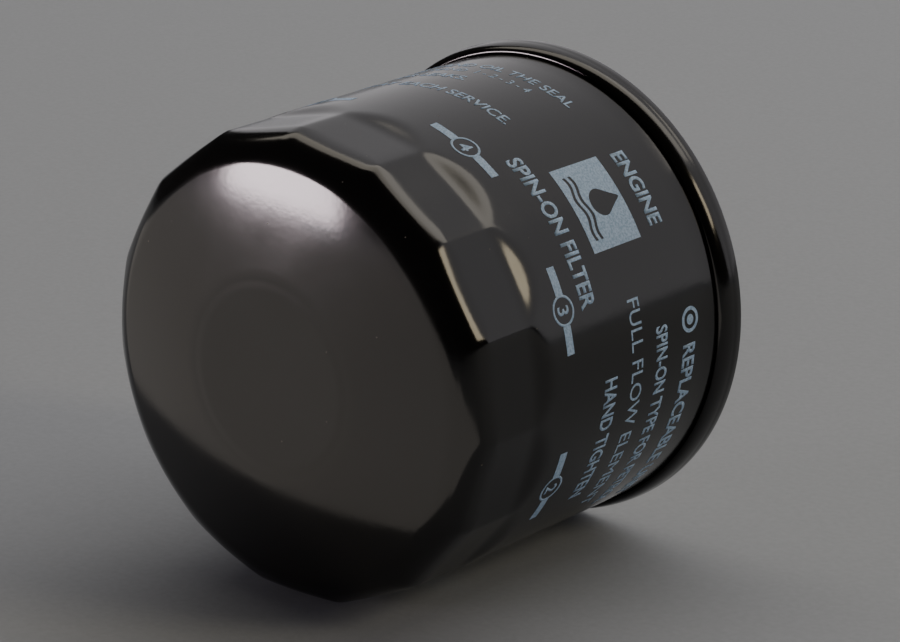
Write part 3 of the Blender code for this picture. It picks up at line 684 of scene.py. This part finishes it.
emblem = {"top": 20.6, "base": 32.8, "start": 49.9, "end": 28.1, "dot": 2.2, "dotDepth": 12.75,
    "dotAngle": 5.3, "dotRings": (1.0, 0.72, 0.4), "dropPlace": 0.56, "dropSize": 0.2, "waves": (0.13, 0.24),
    "waveSwing": 0.03, "waveBand": 0.055}


def wrapped(point, depth, angle, lift):
    # lays a flat point (metres, x along the line, y towards the rim) on the can's wall
    reach = can["radius"] * mm + lift
    turn = math.radians(angle) - point.x / (can["radius"] * mm)
    return Vector((reach * math.cos(turn), openFace - depth * mm + point.y,
        axisHeight + reach * math.sin(turn)))


def flatText(words, height, weight):
    curve = bpy.data.curves.new("words", "FONT")
    curve.body = words
    curve.size = height * mm / 0.729  # the font's capitals are this share of its size
    curve.offset = weight * mm
    curve.resolution_u = 4
    return plain(linked("words", curve)).data


def laidOn(bm, mesh, depth, angle, anchor="LEFT", widthShare=1.0):
    # slices a flat mesh finely enough to bend, wraps it and adds it to the print
    part = bmesh.new()
    part.from_mesh(mesh)
    bmesh.ops.remove_doubles(part, verts=part.verts, dist=0.000005)
    for vertex in part.verts:
        vertex.co.x *= widthShare
    left = min(v.co.x for v in part.verts)
    right = max(v.co.x for v in part.verts)
    start = {"LEFT": left, "CENTER": (left + right) / 2, "RIGHT": right}[anchor]
    cut = left
    while cut < right:
        bmesh.ops.bisect_plane(part, geom=part.verts[:] + part.edges[:] + part.faces[:], dist=0.0000001,
            plane_co=(cut, 0, 0), plane_no=(1, 0, 0))
        cut += printing["slice"] * mm
    for vertex in part.verts:
        vertex.co = wrapped(vertex.co - Vector((start, 0, 0)), depth, angle, printing["lift"] * mm)
    scratch = bpy.data.meshes.new("wrapped")
    part.to_mesh(scratch)
    part.free()
    bm.from_mesh(scratch)
    bpy.data.meshes.remove(scratch)
    bpy.data.meshes.remove(mesh)


def inkFilm(obj):
    # gives the flat print the ink's own thickness
    return finished(thickened(obj, printing["film"]), ink, "shell", "print_ink")


def makeLettering():
    bm = bmesh.new()
    for words, height, depth, angle, anchor, widthShare, weight in printing["lines"]:
        laidOn(bm, flatText(words, height, weight), depth, angle, anchor, widthShare)
    for i in range(marks["count"]):
        digit = flatText(marks["digits"][i], marks["digitHeight"], marks["digitWeight"])
        angle = marks["first"] - marks["pitch"] * i
        laidOn(bm, digit, marks["depth"] + marks["digitHeight"] / 2, angle, "CENTER")
    return inkFilm(withoutSlivers(linked("printedLettering", bm)))


def bendMarks(add, sizes):
    # a ring with a bar on each side, repeated round the can
    circle = add("CurvePrimitiveCircle", {"Resolution": 48, "Radius": sizes["Circle"]})
    halfRing = add("MULTIPLY", (sizes["Ring"], 0.5))
    ringStart = add("CombineXYZ", add("MULTIPLY", (halfRing, -1.0)))
    ringLine = add("CurvePrimitiveLine", {"Start": ringStart, "End": add("CombineXYZ", halfRing)})
    ring = add("CurveToMesh", {"Curve": circle, "Profile Curve": ringLine})
    length = add("SUBTRACT", (sizes["Bar End"], sizes["Bar Start"]))
    bar = add("MeshGrid", {"Size X": length, "Size Y": sizes["Bar Width"], "Vertices X": 10, "Vertices Y": 2})
    middle = add("MULTIPLY", (add("ADD", (sizes["Bar End"], sizes["Bar Start"])), 0.5))
    back = add("MULTIPLY", (middle, -1.0))
    toRight = add("CombineXYZ", middle)
    toLeft = add("CombineXYZ", back)
    rightBar = add("Transform", {"Geometry": bar.outputs["Mesh"], "Translation": toRight})
    leftBar = add("Transform", {"Geometry": bar.outputs["Mesh"], "Translation": toLeft})
    mark = add("JoinGeometry")
    for part in (ring, rightBar, leftBar):
        plug(mark, part)
    row = add("MeshLine", {"Count": sizes["Count"], "Offset": add("CombineXYZ", sizes["Pitch"])})
    many = add("InstanceOnPoints", {"Points": row, "Instance": mark})
    flat = add("RealizeInstances", {"Geometry": many})
    # the flat row is bent round the can
    where = add("InputPosition")
    split = add("SeparateXYZ", where)
    angle = add("SUBTRACT", (sizes["Start"], add("DIVIDE", (split.outputs[0], sizes["Radius"]))))
    x, rise = swung(add, angle, add("ADD", (sizes["Radius"], sizes["Lift"])))
    y = add("ADD", (sizes["Along"], split.outputs[1]))
    place = add("CombineXYZ", (x, y, add("ADD", (sizes["Axis Height"], rise))))
    return add("SetPosition", {"Geometry": flat, "Position": place})


def turnOutwards(obj):
    # flips each face of an open film that looks at the filter's axis
    def change(bm):
        bmesh.ops.remove_doubles(bm, verts=bm.verts, dist=0.000001)
        for face in bm.faces:
            middle = face.calc_center_median()
            if face.normal.dot(Vector((middle.x, 0, middle.z - axisHeight))) < 0:
                face.normal_flip()
    return reworked(obj, change)


def makeMarks():
    radius = can["radius"] * mm
    obj = grown("tighteningMarks", bendMarks, ink, {"Count": marks["count"],
        "Pitch": radius * math.radians(marks["pitch"]), "Start": math.radians(marks["first"]),
        "Circle": marks["circle"] * mm, "Ring": marks["ring"] * mm, "Bar Start": marks["barStart"] * mm,
        "Bar End": marks["barEnd"] * mm, "Bar Width": marks["barWidth"] * mm, "Radius": radius,
        "Along": openFace - marks["depth"] * mm, "Axis Height": axisHeight, "Lift": printing["lift"] * mm})
    return inkFilm(turnOutwards(obj))


def dropOutline(cx, cy, size, count=24):
    # an oil drop: a round foot drawn up to a point
    points = []
    for i in range(count):
        a = math.tau * i / count
        pull = max(0.0, math.cos(a)) ** 3
        x, y = size * math.sin(a) * (1 - 0.55 * pull), size * math.cos(a) * (1 + 0.9 * pull)
        points.append((cx + x, cy + y))
    return points


def circleOutline(radius, count=32):
    angles = [math.tau * i / count for i in range(count)]
    return [(radius * math.cos(a), radius * math.sin(a)) for a in angles]


def filledShape(outlines):
    # outlines inside one another are filled and left open by turns
    curve = bpy.data.curves.new("filledShape", "CURVE")
    curve.dimensions = "2D"
    curve.fill_mode = "BOTH"
    for outline in outlines:
        spline = curve.splines.new("POLY")
        spline.points.add(len(outline) - 1)
        for point, (x, y) in zip(spline.points, outline):
            point.co = (x, y, 0, 1)
        spline.use_cyclic_u = True
    return plain(linked("filledShape", curve)).data


def makeEmblem():
    # a pale panel with an oil drop and waves left open in it, and a ringed dot further on
    height = (emblem["base"] - emblem["top"]) * mm
    width = math.radians(emblem["start"] - emblem["end"]) * can["radius"] * mm
    outlines = [[(0, 0), (width, 0), (width, height), (0, height)],
        dropOutline(width / 2, height * emblem["dropPlace"], height * emblem["dropSize"])]
    for level in emblem["waves"]:
        wave = []
        for i in range(25):
            rise = level + emblem["waveSwing"] * math.sin(math.tau * 2 * i / 24)
            wave.append((width * (0.12 + 0.76 * i / 24), height * rise))
        outlines.append(wave + [(x, y + height * emblem["waveBand"]) for x, y in reversed(wave)])
    bm = bmesh.new()
    laidOn(bm, filledShape(outlines), emblem["base"], emblem["start"])
    rings = [circleOutline(emblem["dot"] * share * mm) for share in emblem["dotRings"]]
    laidOn(bm, filledShape(rings), emblem["dotDepth"], emblem["dotAngle"], "CENTER")
    return inkFilm(turnOutwards(linked("printedEmblem", bm)))


makeLettering()
makeMarks()
makeEmblem()
print("print laid on")


def roundedLoop(points, radius, count=4):
    # rounds every corner of a closed profile
    first = tuple(Vector(points[0]).lerp(Vector(points[1]), 0.5))
    return roundCorners([first] + points[1:] + [points[0], first], radius, count)[:-1]


def ringPiece(name, points, corner, steps):
    return turned(name, roundedLoop(points, corner), steps)


def stretched(obj, material, node):
    # a flexible piece: it is left out of the bodies, with its place baked into the mesh
    obj.data.materials.clear()
    obj.data.materials.append(material)
    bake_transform(obj)
    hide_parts(node)
    return obj


drainback = {"fit": 0.3, "hubThickness": 1.6, "hubTopWidth": 2.1, "hubWidth": 4.0, "lipFace": 1.7,
    "lipBack": 1.4, "lipTip": 0.81, "lipThickness": 1.26, "skirtRoot": 0.53, "corner": 0.3, "rimLift": 0.15,
    "rimRound": 0.1, "rings": 3, "ringHeight": 0.16, "steps": 160}


def makeDrainbackValve():
    lip, top, base = nodeSpan("drainback_valve")
    inner = plate["neckRadius"] + drainback["fit"]
    hubTop = base - drainback["hubThickness"]
    hubEdge, faceEdge = inner + drainback["hubTopWidth"], lip - drainback["lipFace"]
    points = [(inner, hubTop), (hubEdge, hubTop)]
    # low moulded rings run round the skirt's outer face
    count = 24
    for i in range(1, count):
        share = i / count
        ring = max(0.0, math.sin(math.tau * drainback["rings"] * share)) * (1 - share)
        depth = hubTop + (top + drainback["rimLift"] - hubTop) * share - drainback["ringHeight"] * ring
        points.append((hubEdge + (faceEdge - hubEdge) * share, depth))
    points += [(faceEdge, top + drainback["rimLift"]), (lip - drainback["rimRound"], top),
        (lip, top + drainback["lipTip"])]
    points += [(lip - drainback["lipBack"], top + drainback["lipThickness"])]
    points += [(inner + drainback["hubWidth"], hubTop + drainback["skirtRoot"])]
    points += [(inner + drainback["hubWidth"], base), (inner, base)]
    obj = ringPiece("drainbackValve", points, drainback["corner"], drainback["steps"])
    return stretched(obj, valveRubber, "drainback_valve")


keeper = {"teeth": 12, "notch": 0.5, "corner": 0.12, "steps": 96}


def makeKeeper():
    # a pressed washer with a notched edge, pushed on over the neck
    outer, top, base = nodeSpan("valve_keeper")
    inner = plate["neckRadius"] + drainback["fit"]
    obj = ringPiece("valveKeeper", [(inner, top), (outer, top), (outer, base), (inner, base)],
        keeper["corner"], keeper["steps"])
    punches = grown("punches", spreadPunches, zincSteel, {"Count": keeper["teeth"],
        "Circle": (outer + 0.1) * mm, "Radius": keeper["notch"] * mm, "Sides": 16, "Length": 3 * mm,
        "Along": openFace - (top + base) / 2 * mm, "Axis Height": axisHeight})
    smooth(cutBy(obj, punches))
    return finished(obj, valveSteel, "shell", "keeper_steel", "valve_keeper")


caps = {"sheet": 0.5, "bend": 0.7, "lowerHole": 12.8, "upperHole": 8.0, "beads": (22.5, 29.5),
    "beadWidth": 2.2, "beadHeight": 0.35, "flare": 0.15, "flareHeight": 0.8, "steps": 180}


def makeCap(name, node, slot, hole, side):
    # side is 1 for the cap at the open end and -1 for the one at the dome
    outer, shallow, deep = nodeSpan(node)
    face, skirtEnd = (shallow, deep) if side > 0 else (deep, shallow)
    half, raised = caps["beadWidth"] / 2, face - side * caps["beadHeight"]
    points = [(hole, face)]
    for bead in caps["beads"]:
        points += [(bead - half, face), (bead - half / 2, raised), (bead + half / 2, raised),
            (bead + half, face)]
    wall = outer - caps["flare"]
    points += [(wall, face), (wall, skirtEnd - side * caps["flareHeight"]), (outer, skirtEnd)]
    profile = roundCorners(points, caps["bend"])
    if side < 0:
        profile.reverse()
    obj = turned(name, profile, caps["steps"], closed=False)
    smooth(thickened(obj, caps["sheet"]))
    return finished(obj, tinSteel, "element", slot, node)


pool = {"fit": 0.9, "corner": 0.5, "lump": 0.22, "lumpWidth": 3.0, "steps": 220}


def pourRing(add, sizes):
    # lets a poured ring swell and sink a little, as a cured compound does
    noise = add("TexNoise", {"Scale": add("DIVIDE", (1.0, sizes["Width"])), "Detail": 3.0})
    amount = add("MULTIPLY", (add("SUBTRACT", (noise, 0.7)), sizes["Lump"]))
    normal = add("InputNormal")
    push = add("VectorMath", {0: normal, "Scale": amount}, operation="SCALE")
    return add("SetPosition", {"Geometry": sizes["Geometry"], "Offset": push})


def makePotting(name, node):
    outer, top, base = nodeSpan(node)
    inner = nodeSpan("centre_tube")[0] + pool["fit"]
    middle = (outer + inner) / 2
    points = [(inner, top), (middle, top), (outer, top), (outer, base), (middle, base), (inner, base)]
    obj = ringPiece(name, points, pool["corner"], pool["steps"])
    obj = grown(name, pourRing, potting, {"Lump": pool["lump"] * mm, "Width": pool["lumpWidth"] * mm}, obj)
    return finished(smooth(obj, 60), potting, "element", "potting_resin", node)


tube = {"sheet": 0.6, "rows": 4, "columns": 8, "holeRadius": 2.2, "margin": 9.0, "edge": 0.15, "corner": 0.12,
    "steps": 128}


def staggerPunches(add, sizes):
    # staggered rows of punches that point out from the axis
    points = add("MeshLine", {"Count": add("MULTIPLY", (sizes["Rows"], sizes["Columns"]))})
    index = add("InputIndex")
    row = add("FLOOR", add("DIVIDE", (index, sizes["Columns"])))
    place = add("ADD", (index, add("MULTIPLY", (add("MODULO", (row, 2.0)), 0.5))))
    angle = add("MULTIPLY", (add("DIVIDE", (place, sizes["Columns"])), math.tau))
    outward = add("CombineXYZ", (add("COSINE", angle), add("SINE", angle)))
    onCircle = add("VectorMath", {0: outward, "Scale": sizes["Circle"]}, operation="SCALE")
    down = add("MULTIPLY", (add("MULTIPLY_ADD", (row, sizes["Pitch"], sizes["First"])), -1.0))
    spot = add("VectorMath", (onCircle, add("CombineXYZ", {2: down})), operation="ADD")
    placed = add("SetPosition", {"Geometry": points, "Position": spot})
    punch = add("MeshCylinder", {"Vertices": 24, "Radius": sizes["Radius"], "Depth": sizes["Reach"]})
    aim = add("AlignRotationToVector", {"Vector": outward}, axis="Z")
    return add("InstanceOnPoints", {"Points": placed, "Instance": punch.outputs["Mesh"], "Rotation": aim})


def makeTube():
    outer, top, base = nodeSpan("centre_tube")
    inner = outer - tube["sheet"]
    points = [(inner, top), (outer, top)] + [(outer, top + (base - top) * i / 8) for i in range(1, 8)]
    points += [(outer, base), (inner, base)] + [(inner, base - (base - top) * i / 8) for i in range(1, 8)]
    obj = ringPiece("centreTube", points, tube["corner"], tube["steps"])
    pitch = (base - top - 2 * tube["margin"]) / (tube["rows"] - 1)
    punches = grown("punches", staggerPunches, tinSteel, {"Rows": tube["rows"], "Columns": tube["columns"],
        "Radius": tube["holeRadius"] * mm, "Reach": 6 * tube["sheet"] * mm, "Pitch": pitch * mm,
        "Circle": (outer - tube["sheet"] / 2) * mm, "First": (top + tube["margin"]) * mm})
    punches.data.transform(toFrame)
    cutBy(obj, punches)
    deburred(obj, tube["edge"])
    return finished(obj, tinSteel, "element", "tube_steel", "centre_tube")


pleats = {"count": 36, "paper": 0.75, "fit": 0.5, "innerRadius": 17.65, "outerFold": 1.64, "innerFold": 1.22,
    "stepsPerFold": 16, "rows": 14, "waviness": 0.25, "waveLength": 9.0}


def foldPaper(add, sizes):
    # a flat sheet is folded into pleats and closed round the axis
    sheet = add("MeshGrid", {"Size X": 1.0, "Size Y": 1.0, "Vertices X": sizes["Columns"],
        "Vertices Y": sizes["Rows"]})
    where = add("InputPosition")
    split = add("SeparateXYZ", where)
    halves = add("MULTIPLY", (add("ADD", (split.outputs[0], 0.5)), sizes["Pleats"]))
    # share is 0 on an outer fold and 1 on an inner one
    share = add("MULTIPLY", (add("PINGPONG", (halves, 0.5)), 2.0))
    radius = add("MapRange", {"Value": share, "From Min": 0.06, "From Max": 0.94, "To Min": sizes["Outer"],
        "To Max": sizes["Inner"]}, interpolation_type="SMOOTHSTEP")
    pitch = add("DIVIDE", (math.tau, sizes["Pleats"]))
    lastFold = add("SUBTRACT", (add("MULTIPLY", (pitch, 0.5)), sizes["Inner Fold"]))
    outerTurn = add("MapRange", {"Value": share, "From Max": 0.2, "To Max": sizes["Outer Fold"]})
    flankRange = add("SUBTRACT", (lastFold, sizes["Outer Fold"]))
    flankTurn = add("MapRange", {"Value": share, "From Min": 0.2, "From Max": 0.8, "To Max": flankRange})
    innerTurn = add("MapRange", {"Value": share, "From Min": 0.8, "To Max": sizes["Inner Fold"]})
    fromFold = add("ADD", (add("ADD", (outerTurn, flankTurn)), innerTurn))
    nearest = add("ROUND", halves)
    signed = add("MULTIPLY", (fromFold, add("SIGN", add("SUBTRACT", (halves, nearest)))))
    angle = add("MULTIPLY_ADD", (nearest, pitch, signed))
    cosine = add("COSINE", angle)
    sine = add("SINE", angle)
    x = add("MULTIPLY", (radius, cosine))
    y = add("MULTIPLY", (radius, sine))
    axial = add("MULTIPLY", (add("ADD", (split.outputs[1], -0.5)), sizes["Length"]))
    place = add("CombineXYZ", (x, y, add("SUBTRACT", (axial, sizes["Top"]))))
    folded = add("SetPosition", {"Geometry": sheet.outputs["Mesh"], "Position": place})
    # the flanks wander a little, and the folds stay put
    noise = add("TexNoise", {"Scale": add("DIVIDE", (1.0, sizes["Wave"])), "Detail": 1.0})
    amount = add("MULTIPLY", (add("SUBTRACT", (noise, 0.5)), sizes["Waviness"]))
    sideways = add("CombineXYZ", (add("MULTIPLY", (sine, -1.0)), cosine))
    push = add("VectorMath", {0: sideways, "Scale": amount}, operation="SCALE")
    return add("SetPosition", {"Geometry": folded, "Offset": push})


def makeMedia():
    outer, top, base = nodeSpan("filter_media")
    outerRadius = outer - pleats["fit"]
    columns = pleats["count"] * 2 * pleats["stepsPerFold"] + 1
    obj = grown("pleatedMedia", foldPaper, paper, {"Pleats": float(pleats["count"]), "Columns": columns,
        "Rows": pleats["rows"], "Inner": pleats["innerRadius"] * mm, "Outer": outerRadius * mm,
        "Inner Fold": pleats["innerFold"] / pleats["innerRadius"] / 2,
        "Outer Fold": pleats["outerFold"] / outerRadius / 2, "Top": top * mm, "Length": (base - top) * mm,
        "Waviness": pleats["waviness"] * mm, "Wave": pleats["waveLength"] * mm})
    obj.data.transform(toFrame)
    faceOut(obj, 0.00001)
    smooth(thickened(obj, pleats["paper"], 0), 50)
    return finished(obj, paper, "element", "filter_paper", "filter_media")


clip = {"sheet": 0.4, "bend": 0.5, "pinch": 0.3, "pinchPitch": 5.0, "rowPitch": 0.5}


def makeClip():
    # a folded channel, pinched on to the two ends of the paper
    low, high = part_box("pleat_clip")
    mouth, back = low[0] / mm, high[0] / mm
    half = (high[2] - low[2]) / 2 / mm
    count = round((high[1] - low[1]) / mm / clip["rowPitch"])
    bm = bmesh.new()
    rows = []
    for i in range(count + 1):
        along = i / count * (high[1] - low[1])
        wave = 0.5 - 0.5 * math.cos(math.tau * along / mm / clip["pinchPitch"])
        tip = half - clip["pinch"] * wave ** 3
        outline = roundCorners([(mouth, -tip), (back, -half), (back, half), (mouth, tip)], clip["bend"])
        rows.append([bm.verts.new((x * mm, low[1] + along, axisHeight + z * mm)) for x, z in outline])
    for before, after in zip(rows, rows[1:]):
        for i in range(len(before) - 1):
            bm.faces.new((before[i], before[i + 1], after[i + 1], after[i]))
    obj = linked("pleatClip", bm)
    if max(obj.data.polygons, key=lambda face: face.center.x).normal.x < 0:
        obj.data.flip_normals()
    smooth(thickened(obj, clip["sheet"]))
    return finished(obj, tinSteel, "element", "clip_steel", "pleat_clip")


bypass = {"portRadius": 7.0, "sealHole": 5.0, "stemRadius": 1.5, "discSheet": 0.8, "gap": 0.3,
    "seatLip": 0.25, "cageSheet": 0.6, "cageLeg": 4.0, "cageMargin": 1.8, "corner": 0.22, "cageCorner": 1.0,
    "cageFlange": 2.0, "windowCorner": 0.8, "lipInner": 0.6, "lipOuter": 0.9, "seatCorner": 0.15,
    "grooveHalf": 0.5, "grooveDepth": 0.2, "ringInner": 2.6, "ringOuter": 3.2, "ringDepth": 0.2, "steps": 96}


def makeSeat():
    outer, top, base = nodeSpan("bypass_seat")
    port = bypass["portRadius"]
    # a low lip stands round the port, where the rubber seals
    points = [(port, top), (port + bypass["lipInner"], top), (port + bypass["lipOuter"],
        top + bypass["seatLip"]), (outer, top + bypass["seatLip"]), (outer, base), (port, base)]
    obj = ringPiece("bypassSeat", points, bypass["seatCorner"], bypass["steps"])
    return finished(obj, valveSteel, "element", "valve_steel", "bypass_seat")


def makeSeal():
    outer, top, base = nodeSpan("bypass_seal")
    hole = bypass["sealHole"]
    groove = (outer + hole) / 2
    points = [(hole, top), (outer, top), (outer, base), (groove + bypass["grooveHalf"], base),
        (groove, base - bypass["grooveDepth"]), (groove - bypass["grooveHalf"], base), (hole, base)]
    obj = ringPiece("bypassSeal", points, bypass["corner"], bypass["steps"])
    return finished(obj, sealRubber, "bypass_valve", "seal_rubber", "bypass_seal")


def makeDisc():
    outer, tip, base = nodeSpan("bypass_disc")
    discBase = nodeSpan("bypass_seal")[1] - bypass["gap"]
    discTop = discBase - bypass["discSheet"]
    stem, boss = bypass["stemRadius"], bypass["sealHole"] - bypass["gap"]
    # the spring sits in a shallow pressed ring round the stem
    ringFloor = discTop + bypass["ringDepth"]
    points = [(0, tip), (stem, tip), (stem, ringFloor), (stem + bypass["ringInner"], ringFloor),
        (stem + bypass["ringOuter"], discTop), (outer, discTop), (outer, discBase), (boss, discBase),
        (boss, base), (0, base)]
    obj = turned("bypassDisc", roundCorners(points, bypass["corner"]), bypass["steps"], closed=False)
    faceOut(obj)
    smooth(obj)
    return finished(obj, valveSteel, "bypass_valve", "valve_steel", "bypass_disc")


def makeCage():
    outer, top, flangeBase = nodeSpan("bypass_cage")
    body = outer - bypass["cageFlange"]
    base = flangeBase - bypass["cageSheet"]
    hole = bypass["stemRadius"] + bypass["gap"]
    points = [(hole, top), (body, top), (body, base), (outer, base)]
    profile = roundCorners(points, bypass["cageCorner"], 8)
    obj = turned("bypassCage", profile, bypass["steps"], closed=False)
    thickened(obj, bypass["cageSheet"])
    # four windows leave four legs
    width = (2 * body - 2 * bypass["cageLeg"]) / math.sqrt(2)
    low, high = top + bypass["cageMargin"], base - bypass["cageMargin"]
    bm = bmesh.new()
    for quarter in range(4):
        turn = Matrix.Rotation(quarter * math.pi / 2, 4, "Z")
        place = Matrix.Translation((body * mm, 0, -(low + high) / 2 * mm))
        size = Matrix.Diagonal((body * mm, width * mm, (high - low) * mm, 1))
        bmesh.ops.create_cube(bm, size=1, matrix=toFrame @ turn @ place @ size)
    edges = [e for e in bm.edges if e.is_manifold]
    bmesh.ops.bevel(bm, geom=edges, offset=bypass["windowCorner"] * mm, segments=4, affect="EDGES",
        profile=0.5)
    smooth(cutBy(obj, linked("windows", bm)))
    return finished(obj, valveSteel, "element", "valve_steel", "bypass_cage")


springs = {"stepsPerTurn": 40, "wireSides": 14, "closedShare": 0.14, "element": {"wire": 1.6, "turns": 2.6,
    "topRadius": 13.5, "footRadius": 19.0}, "bypass": {"wire": 0.8, "turns": 5.0, "topRadius": 5.5,
    "footRadius": 5.5}}


def windSpring(add, sizes):
    # wire wound from the top ring to the foot ring, with both end turns closed flat
    line = add("CurvePrimitiveLine")
    points = add("ResampleCurve", {"Curve": line, "Count": sizes["Points"]})
    along = add("SplineParameter").outputs["Factor"]
    angle = add("MULTIPLY", (add("MULTIPLY", (along, sizes["Turns"])), math.tau))
    last = add("SUBTRACT", (1.0, sizes["Closed"]))
    radius = add("MapRange", {"Value": along, "From Min": sizes["Closed"], "From Max": last,
        "To Min": sizes["Top Radius"], "To Max": sizes["Foot Radius"]})
    depth = add("MapRange", {"Value": along, "From Min": sizes["Closed"], "From Max": last,
        "To Min": sizes["Top"], "To Max": sizes["Foot"]}, interpolation_type="SMOOTHSTEP")
    x, y = swung(add, angle, radius)
    place = add("CombineXYZ", (x, y, add("MULTIPLY", (depth, -1.0))))
    wound = add("SetPosition", {"Geometry": points, "Position": place})
    upright = add("SetCurveNormal", {"Curve": wound}, mode="Z_UP")
    section = add("CurvePrimitiveCircle", {"Resolution": sizes["Sides"], "Radius": sizes["Wire"]})
    return add("CurveToMesh", {"Curve": upright, "Profile Curve": section, "Fill Caps": True})


def makeSpring(name, node, kind):
    size = springs[kind]
    shallow, deep = nodeSpan(node)[1:]
    half = size["wire"] / 2
    # the top is the narrow end, which rests on the element or on the cage
    top, foot = shallow + half, deep - half
    obj = grown(name, windSpring, wireSteel, {"Points": round(size["turns"] * springs["stepsPerTurn"]),
        "Turns": size["turns"], "Wire": half * mm, "Top": top * mm, "Foot": foot * mm,
        "Top Radius": size["topRadius"] * mm, "Foot Radius": size["footRadius"] * mm,
        "Closed": springs["closedShare"], "Sides": springs["wireSides"]})
    obj.data.transform(toFrame)
    smooth(faceOut(obj), 40)
    return stretched(obj, wireSteel, node)


makeDrainbackValve()
makeKeeper()
print("anti-drainback valve fitted")
makeCap("lowerEndCap", "lower_end_cap", "cap_steel", caps["lowerHole"], 1)
makeCap("upperEndCap", "upper_end_cap", "cap_steel", caps["upperHole"], -1)
makePotting("lowerPotting", "lower_potting")
makePotting("upperPotting", "upper_potting")
makeTube()
makeMedia()
makeClip()
print("element folded and capped")
makeSeat()
makeSeal()
makeDisc()
makeCage()
makeSpring("bypassSpring", "bypass_spring", "bypass")
makeSpring("elementSpring", "element_spring", "element")
print("bypass valve and springs set")

# the compound in the seam keeps its solid's shape
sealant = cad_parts["seam_sealant"]
sealant.data.materials.clear()
sealant.data.materials.append(compound)


# floor and swells in metres, the two feet as depths in mm
stageSizes = {"floor": 8.0, "flatReach": 0.4, "swell": 0.004, "swellTurns": (1.7, 1.3), "fall": 0.002,
    "rimFoot": 2.7, "wallFoot": 61.7, "world": "#b8b6b6", "worldStrength": 0.04}
# the rim and the can's wall both touch the floor, so it leans by this much about X
rimFoot = Vector((0, openFace - stageSizes["rimFoot"] * mm, 0))
wallFoot = Vector((0, openFace - stageSizes["wallFoot"] * mm, axisHeight - can["radius"] * mm))
lights = {
    # place and aim in metres from the filter's axis, size in metres, power in watts, colour
    "leftWindow": ((-0.69, -0.86, 0.05), (0, 0, 0), (0.36, 0.17), 5.2, "#ffeef4"),
    "rightSoftbox": ((0.965, 0.37, 0.60), (0, 0, 0), (0.26, 0.4), 2.2, "#ffeecb"),
    "overheadStrip": ((-0.25, 0.51, 1.26), (0, 0, 0), (2.8, 0.55), 10.0, "#fff6e6"),
    "backPanel": ((0.05, 1.56, 0.90), (0, 0, 0), (4.8, 2.3), 25.0, "#f8f5f8"),
    # a white card flat on the bench, in front of the dome
    "frontCard": ((-0.24, -0.415, -0.0245), (-0.24, -0.385, 1.0), (0.8, 0.72), 0.95, "#fff4e8"),
}
camera = {"azimuth": 40.295, "elevation": 18.704, "distance": 0.5858, "targetDepth": 32.0, "lens": 139.77,
    "sensor": 36.0, "shift": (0.02306, -0.00239)}


def makeFloor():
    # one wide sheet with a rounded grid, so that it is not a bare plane
    lean = math.atan2(wallFoot.z - rimFoot.z, rimFoot.y - wallFoot.y)
    bm = bmesh.new()
    bmesh.ops.create_grid(bm, x_segments=40, y_segments=40, size=stageSizes["floor"] / 2)
    turnX, turnY = stageSizes["swellTurns"]
    for vertex in bm.verts:
        # the paper lies on the bench with very long, very shallow swells away from the filter
        away = max(0.0, vertex.co.length - stageSizes["flatReach"])
        swell = stageSizes["swell"] * away * math.sin(vertex.co.x * turnX) * math.cos(vertex.co.y * turnY)
        vertex.co.z = swell - stageSizes["fall"] * away
    floor = linked("paperFloor", bm)
    floor.data.transform(Matrix.Translation(rimFoot) @ Matrix.Rotation(-lean, 4, "X"))
    floor.data.materials.append(seamlessPaper())
    floor.data.shade_smooth()


def makeLight():
    centre = Vector((0, 0, axisHeight))
    for name, (place, aim, size, power, colour) in lights.items():
        lamp = bpy.data.lights.new(name, "AREA")
        lamp.shape = "RECTANGLE"
        lamp.size, lamp.size_y = size
        lamp.energy = power
        lamp.color = linearColour(colour)[:3]
        obj = linked(name, lamp)
        obj.location = centre + Vector(place)
        obj.rotation_euler = (Vector(place) - Vector(aim)).to_track_quat("Z", "Y").to_euler()
        obj.visible_camera = False
    world = bpy.data.worlds.new("studio")
    world.use_nodes = True
    plug(world.node_tree.nodes["Background"], {"Color": linearColour(stageSizes["world"]),
        "Strength": stageSizes["worldStrength"]})
    bpy.context.scene.world = world


def makeCamera():
    azimuth, elevation = math.radians(camera["azimuth"]), math.radians(camera["elevation"])
    back = Vector((math.sin(azimuth) * math.cos(elevation), -math.cos(azimuth) * math.cos(elevation),
        math.sin(elevation)))
    target = Vector((0, openFace - camera["targetDepth"] * mm, axisHeight))
    data = bpy.data.cameras.new("camera")
    data.lens = camera["lens"]
    data.sensor_width = camera["sensor"]
    data.shift_x, data.shift_y = camera["shift"]
    data.clip_start, data.clip_end = 0.02, 30.0
    obj = linked("camera", data)
    obj.location = target + back * camera["distance"]
    obj.rotation_euler = back.to_track_quat("Z", "Y").to_euler()
    bpy.context.scene.camera = obj


makeFloor()
makeLight()
makeCamera()
print("stage set")
